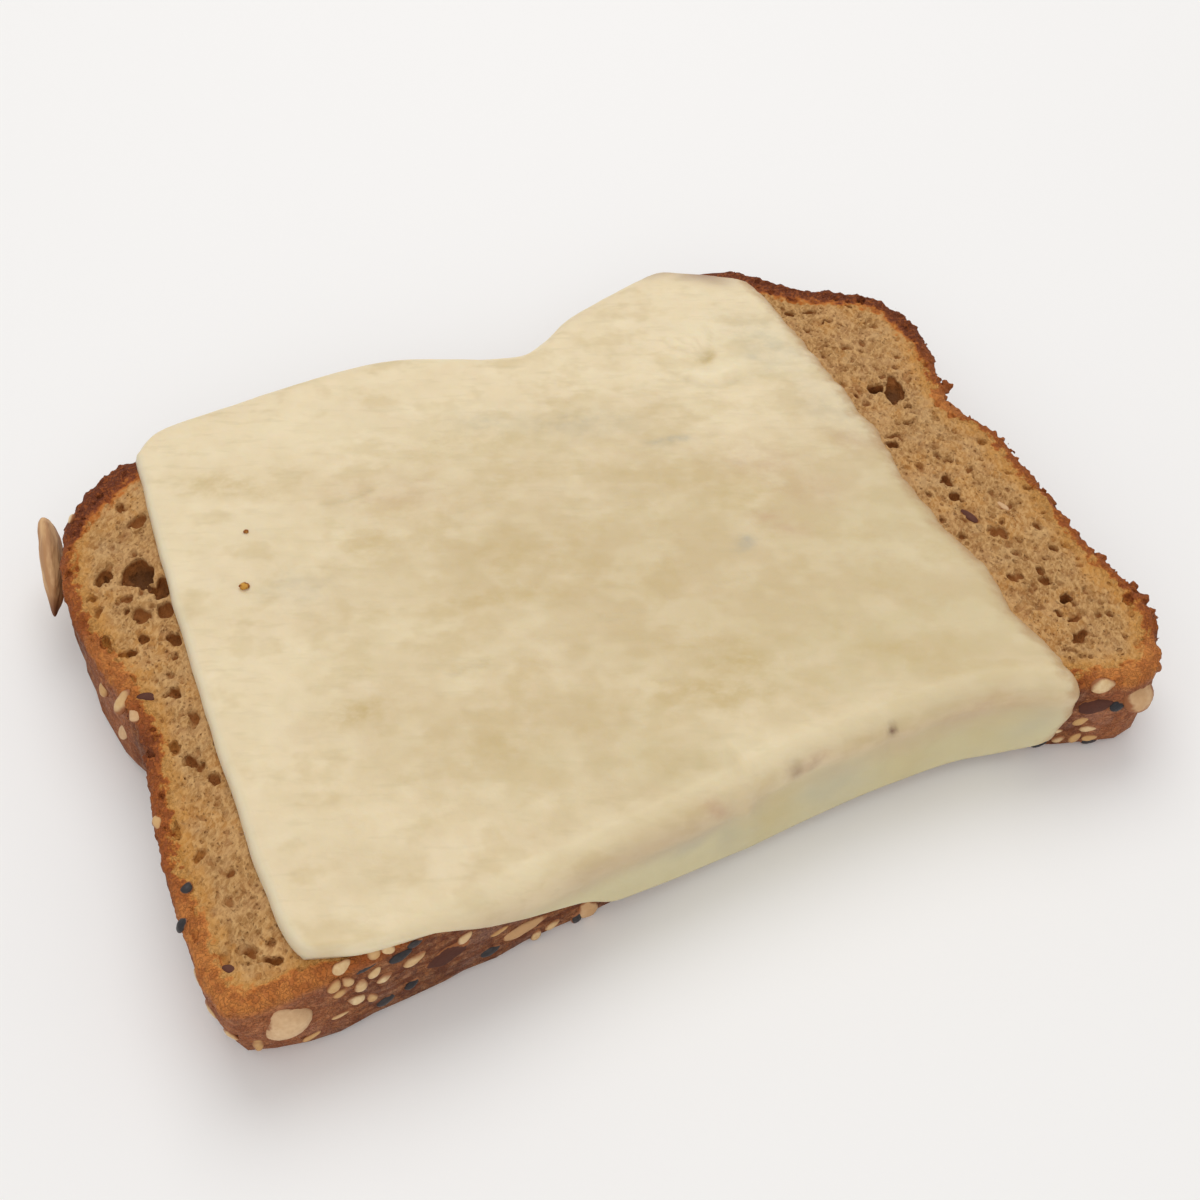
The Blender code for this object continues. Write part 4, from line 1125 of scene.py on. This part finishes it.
seeds = {
    # length, width, thickness, how pointed the far end is, share sunk in
    "forms": {
        "sesame": (2.9, 1.9, 1.1, 0.55, 0.55),
        "blackSesame": (2.7, 1.7, 1.1, 0.5, 0.56),
        "kernel": (7.2, 5.0, 2.6, 0.6, 0.56),
        "flax": (3.4, 1.8, 0.8, 0.5, 0.62),
    },
    "scattered": {"kernel": 5, "sesame": 66, "blackSesame": 26},  # the largest first
    # the lightest and the darkest seed, the blotches, roughness, how far the crust creeps up
    "looks": {
        "sesame": ((236, 212, 168), (204, 160, 104), (190, 140, 88), 0.5, 0.34),
        "blackSesame": ((38, 38, 42), (62, 56, 56), (30, 28, 30), 0.4, 0.1),
        "kernel": ((228, 194, 152), (198, 154, 108), (184, 140, 100), 0.6, 0.2),
        "flax": ((112, 72, 58), (88, 50, 38), (66, 38, 30), 0.85, 0.06),
    },
    "mottles": {"patch": (2.6, 1.0, 0, 0.38, 0.62, 0.0, 3.0), "fine": (0.5, 1.0, 0, 0.3, 0.7, 0.6, 3.0)},
    # seeds listed one by one: kind, x, y, z, turn in degrees, length, width,
    # and for some how many degrees the face is lifted
    "shown": (
        ("kernel", -54.8, -45.0, 8.3, 102, 6.4, 6.4), ("sesame", -48.8, -44.8, 11.8, 60, 2.4, 1.8),
        ("sesame", -47.3, -44.8, 11.6, 110, 2.2, 1.5), ("sesame", -48.3, -44.8, 9.6, 20, 2.2, 1.5),
        ("sesame", -46.0, -44.7, 9.3, 75, 2.6, 1.9), ("sesame", -47.0, -44.7, 6.7, 140, 2.3, 1.7),
        ("sesame", -43.3, -44.5, 8.4, 30, 2.3, 1.7), ("sesame", -49.1, -44.9, 4.8, 5, 2.4, 0.9),
        ("sesame", -52.8, -45.0, 3.1, 15, 2.6, 1.0), ("sesame", -45.2, -44.7, 5.4, 100, 2.0, 1.4),
        ("sesame", -44.2, -44.6, 10.6, 50, 2.1, 1.5), ("blackSesame", -44.9, -44.6, 12.2, 8, 2.8, 0.8),
        ("blackSesame", -41.0, -44.4, 11.4, 12, 2.9, 1.5),
        ("blackSesame", -39.0, -44.3, 12.4, 10, 2.0, 1.3), ("sesame", -47.4, -44.2, 13.7, 20, 2.4, 1.6),
        ("sesame", -43.5, -44.0, 13.7, 50, 2.2, 1.6), ("sesame", -42.1, -43.9, 13.5, 120, 2.2, 1.6),
        ("sesame", -39.5, -44.3, 9.2, 25, 3.2, 1.9), ("flax", -35.6, -44.0, 6.5, 15, 6.4, 3.9),
        ("blackSesame", -43.8, -44.5, 3.2, 20, 2.6, 1.5),
        ("blackSesame", -40.4, -44.3, 3.9, 40, 2.4, 1.5), ("sesame", -33.3, -43.9, 8.5, 40, 2.4, 1.7),
        ("sesame", -29.1, -43.7, 6.2, 12, 2.6, 1.1), ("kernel", -25.9, -43.6, 4.2, 8, 6.2, 2.4),
        ("sesame", -22.4, -43.4, 2.2, 30, 2.3, 1.5), ("sesame", -24.6, -43.5, 1.5, 70, 2.2, 1.4),
        ("blackSesame", -30.5, -43.8, 2.9, 15, 2.9, 1.6),
        ("blackSesame", -19.2, -43.2, 1.3, 80, 2.4, 1.6), ("kernel", -17.7, -43.2, 2.0, 100, 3.9, 2.7),
        ("sesame", 51.8, -47.6, 13.2, 8, 3.3, 2.3), ("kernel", 57.4, -48.9, 10.3, 80, 5.4, 5.0, 38),
        ("blackSesame", 54.5, -48.7, 8.9, 20, 2.5, 2.3), ("sesame", 50.8, -47.3, 5.9, 40, 2.7, 1.8),
        ("sesame", 52.1, -47.9, 3.9, 5, 2.5, 1.5), ("sesame", 52.7, -48.1, 1.9, 5, 2.3, 1.3),
        ("blackSesame", 52.9, -48.2, 1.0, 5, 2.4, 1.3), ("sesame", 50.8, -47.3, 2.0, 60, 2.2, 1.5),
        ("sesame", 48.9, -46.7, 2.0, 30, 2.2, 1.5), ("sesame", 47.9, -46.2, 3.9, 5, 2.4, 1.1),
        ("sesame", 45.9, -45.4, 2.9, 70, 2.2, 1.5), ("blackSesame", 46.4, -45.6, 1.4, 20, 2.5, 2.0),
        ("sesame", 44.3, -44.7, 1.4, 30, 2.0, 1.4), ("flax", 51.7, -47.7, 9.1, 10, 4.6, 3.2),
        ("sesame", -60.4, 35.9, 13.6, 40, 2.0, 1.6), ("sesame", -63.3, 8.8, 9.2, 80, 3.0, 2.1, 25),
        ("sesame", -61.4, 2.4, 13.2, 100, 3.6, 2.2, 10), ("kernel", -62.9, 4.0, 5.3, 60, 3.2, 2.2, 30),
        ("kernel", -60.4, -0.7, 13.7, 100, 2.4, 1.6), ("sesame", -62.3, -36.5, 9.4, 5, 3.2, 1.5),
        ("sesame", -62.0, -40.0, 8.2, 15, 3.6, 1.5), ("sesame", -61.2, -43.0, 6.6, 20, 2.8, 1.4),
        ("sesame", -61.4, -17.4, 13.5, 10, 2.3, 1.3), ("blackSesame", -60.4, -27.4, 13.9, 60, 1.8, 1.6),
        ("blackSesame", -61.9, -31.5, 13.2, 95, 2.0, 1.5), ("flax", -58.7, -39.0, 13.9, 140, 1.5, 1.1),
        ("flax", -58.4, 1.6, 14.0, 150, 2.6, 1.5), ("flax", 53.0, -15.7, 14.0, 101, 3.2, 1.4),
        ("kernel", 58.3, -16.1, 14.0, 101, 2.6, 1.0), ("sesame", -59.0, -45.4, 3.6, 85, 3.4, 1.3, 10),
    ),
}


def seedShape(length, width, thick, point, rings=14, sides=16):
    # a flattened drop, narrowing to a point at +X
    lat = np.linspace(0, math.pi, rings)
    body = np.sin(lat) ** 0.9
    narrow = 1.0 - point * np.clip((1 - np.cos(lat)) / 2 - 0.35, 0, 1)
    xs = -np.cos(lat) * length / 2
    around = np.linspace(0, 2 * math.pi, sides, endpoint=False)
    ys = np.outer(body * narrow, np.cos(around)) * width / 2
    zs = np.outer(body * narrow, np.sin(around)) * thick / 2
    points = np.stack([np.repeat(xs[:, None], sides, axis=1), ys, zs], axis=-1)
    return points.reshape(-1, 3)


def seedFaces(rings=14, sides=16):
    index = np.arange(rings * sides).reshape(rings, sides)
    beside = np.roll(index, -1, axis=1)
    return np.stack([index[:-1], beside[:-1], beside[1:], index[1:]], axis=-1).reshape(-1, 4)


def closeTips(obj):
    # joins the points that meet at each seed's two ends
    bm = bmesh.new()
    bm.from_mesh(obj.data)
    bmesh.ops.remove_doubles(bm, verts=bm.verts, dist=1e-6)
    bmesh.ops.dissolve_degenerate(bm, dist=1e-7, edges=bm.edges)
    bmesh.ops.recalc_face_normals(bm, faces=bm.faces)
    bm.to_mesh(obj.data)
    bm.free()
    obj.data.shade_smooth()


def surfaceDirection(x, y, z):
    # outward direction of the clean slice at a point near its surface
    found, inside = nearestOnLoop(np.array([x]), np.array([y]))
    out = outward[found[0]]
    most = 90 if inside[0] > 1.0 else 35  # degrees, on the cut face and on the crust
    tilt = math.radians(most * max(0.0, min(1.0, (z - bread["thick"] + 1.4) / 1.2)))
    flat = math.cos(tilt)
    return Vector((out[0] * flat, out[1] * flat, math.sin(tilt)))


def scatterSeeds(draw):
    # seeds on the crust that faces away: the front and the left are listed one by one
    rows = []
    for kind, count in seeds["scattered"].items():
        length, width = seeds["forms"][kind][:2]
        added = 0
        for _ in range(count * 60):
            if added == count:
                break
            k = draw.randrange(loopCount)
            x, y = loop[k, 0], loop[k, 1]
            z = draw.uniform(2.0, 12.6)
            shown = x < -50 or (y < -38 and x < 62)
            tooHigh = z > (6.5 if x > 48 else 9.0)
            if shown or tooHigh or z - length / 2 < 0.5:
                continue
            if any(math.dist((x, y, z), other[1:4]) < 0.42 * (length + other[5]) for other in rows):
                continue
            scale = draw.uniform(0.8, 1.1)
            rows.append((kind, x, y, z, draw.uniform(0, 180), length * scale, width * scale))
            added += 1
    return rows


def seedPoints(draw, tree, kind, x, y, z, turn, length, width, lift=0.0):
    # one seed's points, pressed into the crust where it lands, with how high each stands and its tint
    _, usualWidth, thick, point, sunk = seeds["forms"][kind]
    thick = thick * min(1.4, width / usualWidth)
    direction = surfaceDirection(x, y, z)
    start = Vector((np.array((x, y, z)) + toCentre) * mm) + direction * 0.004
    hit = tree.ray_cast(start, -direction, 0.008)[0]
    if hit is None:
        return None
    sideways = Vector((0, 0, 1)).cross(direction)
    if sideways.length < 0.3:
        sideways = Vector((1, 0, 0))
    sideways.normalize()
    if lift:
        direction = Matrix.Rotation(-math.radians(lift), 3, sideways) @ direction
    turned = Matrix.Rotation(math.radians(turn), 3, direction)
    matrix = np.array((turned @ sideways, turned @ direction.cross(sideways), direction)).T
    points = seedShape(length, width, thick, point * draw.uniform(0.7, 1.2))
    points = points * np.array((1, 1 + 0.06 * draw.uniform(-1, 1), 1))
    points += 0.07 * width * smoothNoise(points + 5.0 * draw.random(), width * 0.6, 74)[:, None]
    sunk = sunk + draw.uniform(-0.04, 0.12)
    place = np.array(hit) / mm - toCentre + np.array(direction) * thick * (0.5 - sunk)
    return points @ matrix.T + place, points[:, 2] / thick + 0.5 - sunk, draw.random()


def placeSeeds(breadObj):
    # the seeds of each kind as one mesh
    draw = random.Random(9)
    tree = BVHTree.FromObject(breadObj, bpy.context.evaluated_depsgraph_get())
    made = {}
    for row in list(seeds["shown"]) + scatterSeeds(draw):
        seed = seedPoints(draw, tree, *row)
        if seed is not None:
            made.setdefault(row[0], []).append(seed)
    pieces = {}
    for kind, rows in made.items():
        points, high, tint = zip(*rows)
        count = len(points[0])
        faces = np.concatenate([seedFaces() + k * count for k in range(len(rows))])
        pieces[kind] = meshFrom(kind + "Seeds", np.concatenate(points), faces)
        addValues(pieces[kind], {"high": np.concatenate(high), "tint": np.repeat(tint, count)})
        closeTips(pieces[kind])
        print(kind, "seeds:", len(rows))
    return pieces


def seedMaterial(kind, mottle):
    lightest, darkest, blotch, roughness, creep = seeds["looks"][kind]
    material, maker, shader = newMaterial(kind + "Skin", roughness, 0.25)
    patch, fine = maker.mottles(mottle, seeds["mottles"]).values()
    tint, high = maker.attributes("tint", "high")
    shade = maker.math("ADD", maker.times(patch["Mask"], 0.35), tint, clamp=True)
    sunk = maker.plus(high, maker.times(maker.math("SUBTRACT", patch["Mask"], 0.4), 0.2))
    colour = maker.coats(maker.mix(shade, paint(*lightest), paint(*darkest)), (
        (fine["Mask"], 0.3, paint(*blotch)),
        (maker.spread(sunk, creep, 0.0), 1.0, paint(*bread["colours"]["wall"])),
    ))
    maker.set(shader, "Base Color", colour)
    bumpInto(maker, shader, fine["Value"], 0.4, 0.0002)
    return material


flatSeed = {
    "size": (18.4, 3.2, 5.9),
    "place": (-65.2, 33.4, 8.8),
    "turn": 83.0,
    "ridges": 5,
    "stripes": {"stripe": (1.6, 6.0, -81.5, 0.36, 0.62, 0.0, 3.0)},
    "light": (214, 170, 120),
    "dark": (176, 128, 84),
    "tip": (112, 66, 40),
}


def makeFlatSeed():
    length, thick, wide = flatSeed["size"]
    place, turn = np.array(flatSeed["place"]), math.radians(flatSeed["turn"])
    rings, sides = 60, 48
    lat = np.linspace(0, math.pi, rings)
    xs = -np.cos(lat) * length / 2
    along = (1 - np.cos(lat)) / 2
    body = np.clip(np.sin(lat), 0, 1) ** 0.62
    body = body * (0.35 + 0.65 * np.sin(np.clip(along * 1.8, 0, 1) * math.pi * 0.5))
    around = np.linspace(0, 2 * math.pi, sides, endpoint=False)
    ridge = 1 + 0.05 * np.cos(flatSeed["ridges"] * 2 * around)
    ys = np.outer(body, np.cos(around) * ridge) * thick / 2
    zs = np.outer(body, np.sin(around)) * wide / 2
    points = np.stack([np.repeat(xs[:, None], sides, axis=1), ys, zs], axis=-1).reshape(-1, 3)
    points[:, 1] += 0.9 * (points[:, 0] / (length / 2)) ** 2 * 0.6
    points += 0.12 * np.stack([smoothNoise(points, 2.4, seed) for seed in (71, 72, 73)], axis=-1)
    x, y = alongTurn(points[:, 0], points[:, 1], -turn)
    obj = meshFrom("flatSeed", np.stack([x, y, points[:, 2]], axis=-1) + place, seedFaces(rings, sides))
    closeTips(obj)
    p = pointsOf(obj) - place
    addValues(obj, {"along": alongTurn(p[:, 0], p[:, 1], turn)[0] / length + 0.5})
    return obj


def flatSeedMaterial(mottle):
    light, dark, tip = (paint(*flatSeed[name]) for name in ("light", "dark", "tip"))
    material, maker, shader = newMaterial("flatSeedSkin", 0.6, 0.35)
    stripe = maker.mottles(mottle, flatSeed["stripes"])["stripe"]["Mask"]
    along = maker.attributes("along")[0]
    skin = maker.mix(stripe, light, dark)
    maker.set(shader, "Base Color", maker.mix(maker.spread(along, 0.2, 0.0), skin, tip))
    bumpInto(maker, shader, stripe, 0.4, 0.0003)
    return material


crumbs = {
    "places": ((-39.4, 21.4, 0.62), (-42.3, 11.7, 1.15)),  # x, y, size
    "patches": {"patch": (0.7, 1.0, 0, 0.35, 0.6, 0.0, 3.0)},
    "light": (206, 150, 62),
    "dark": (140, 78, 28),
}


def makeCrumbs(cheeseObj):
    tree = BVHTree.FromObject(cheeseObj, bpy.context.evaluated_depsgraph_get())
    pointSets, faceSets, total = [], [], 0
    for k, (x, y, size) in enumerate(crumbs["places"]):
        start = Vector((np.array((x, y, 25.0)) + toCentre) * mm)
        hit = tree.ray_cast(start, Vector((0, 0, -1)))[0]
        points = seedShape(size * 1.15, size, size * 0.8, 0.1)
        points = points * (1 + 0.28 * smoothNoise(points + 9.0 * k, size * 0.45, 81)[:, None])
        points += np.array(hit) / mm - toCentre + np.array((0, 0, size * 0.22))
        pointSets.append(points)
        faceSets.append(seedFaces() + total)
        total += len(points)
    obj = meshFrom("crumbs", np.concatenate(pointSets), np.concatenate(faceSets))
    closeTips(obj)
    return obj


def crumbMaterial(mottle):
    material, maker, shader = newMaterial("toastCrumb", 0.7, 0.3)
    patch = maker.mottles(mottle, crumbs["patches"])["patch"]["Mask"]
    maker.set(shader, "Base Color", maker.mix(patch, paint(*crumbs["light"]), paint(*crumbs["dark"])))
    bumpInto(maker, shader, patch, 0.4, 0.0002)
    return material


mottle, grain, wrinkle = mottleGroup(), grainGroup(), wrinkleGroup()
breadObj = makeBread()
print("bread made")
cheeseObj = makeCheese()
print("cheese made")
seedPieces = placeSeeds(breadObj)
flatSeedObj = makeFlatSeed()
crumbsObj = makeCrumbs(cheeseObj)
print("seeds and crumbs made")

finishPiece(breadObj, toastMaterial(mottle, grain, wrinkle), "bread_slice")
finishPiece(cheeseObj, cheeseMaterial(mottle), "cheese_slice")
for kind, obj in seedPieces.items():
    finishPiece(obj, seedMaterial(kind, mottle))
finishPiece(flatSeedObj, flatSeedMaterial(mottle))
finishPiece(crumbsObj, crumbMaterial(mottle))
print("materials given")

studio = {
    "floorSize": 6.0,
    "floorColour": (246, 244, 243),
    "floorShade": 0.985,
    # place, width, power
    "key": ((0.20, 0.52, 0.86), 0.8, 3.6),
    "fill": ((-0.38, -0.72, 0.58), 0.9, 1.9),
    "sky": (0.985, 0.985, 0.97, 1.0),
    "skyStrength": 0.65,
}


def addFloor():
    bpy.ops.mesh.primitive_grid_add(x_subdivisions=8, y_subdivisions=8, size=studio["floorSize"])
    floor = bpy.context.active_object
    floor.name = "floor"
    material, maker, shader = newMaterial("paleFloor", 0.5, 0.2)
    cloud = maker.node("ShaderNodeTexNoise", Scale=1.2, Detail=1.0).outputs["Fac"]  # very faint
    tint = paint(*studio["floorColour"])
    shaded = tuple(c * studio["floorShade"] for c in tint[:3]) + (1.0,)
    maker.set(shader, "Base Color", maker.mix(cloud, tint, shaded))
    floor.data.materials.append(material)


def addLight(name):
    place, width, power = studio[name]
    data = bpy.data.lights.new(name, "AREA")
    data.shape = "DISK"
    data.size = width
    data.energy = power
    obj = bpy.data.objects.new(name, data)
    obj.location = place
    obj.rotation_euler = (-Vector(place)).to_track_quat("-Z", "Y").to_euler()
    bpy.context.scene.collection.objects.link(obj)


def addWorld():
    world = bpy.data.worlds.new("studioSky")
    bpy.context.scene.world = world
    world.use_nodes = True
    sky = world.node_tree.nodes["Background"]
    sky.inputs["Color"].default_value = studio["sky"]
    sky.inputs["Strength"].default_value = studio["skyStrength"]


view = {
    "eye": (-51.73, -121.27, 160.34),
    "down": 49.809,
    "turn": -24.0,
    "roll": -0.7232,
    "lens": 43.5,
    "sensor": 36.0,
}


def addCamera():
    data = bpy.data.cameras.new("camera")
    data.lens = view["lens"]
    data.sensor_width = view["sensor"]
    data.clip_start = 0.01
    data.clip_end = 20.0
    obj = bpy.data.objects.new("camera", data)
    aim = Euler((math.radians(90 - view["down"]), 0, math.radians(view["turn"]))).to_matrix()
    rolled = aim @ Matrix.Rotation(math.radians(view["roll"]), 3, "Z")
    obj.matrix_world = Matrix.Translation(Vector(view["eye"]) * mm) @ rolled.to_4x4()
    bpy.context.scene.collection.objects.link(obj)
    bpy.context.scene.camera = obj


addFloor()
addLight("key")
addLight("fill")
addWorld()
addCamera()
bpy.context.scene.view_settings.view_transform = "Standard"
print("floor, light and camera placed")
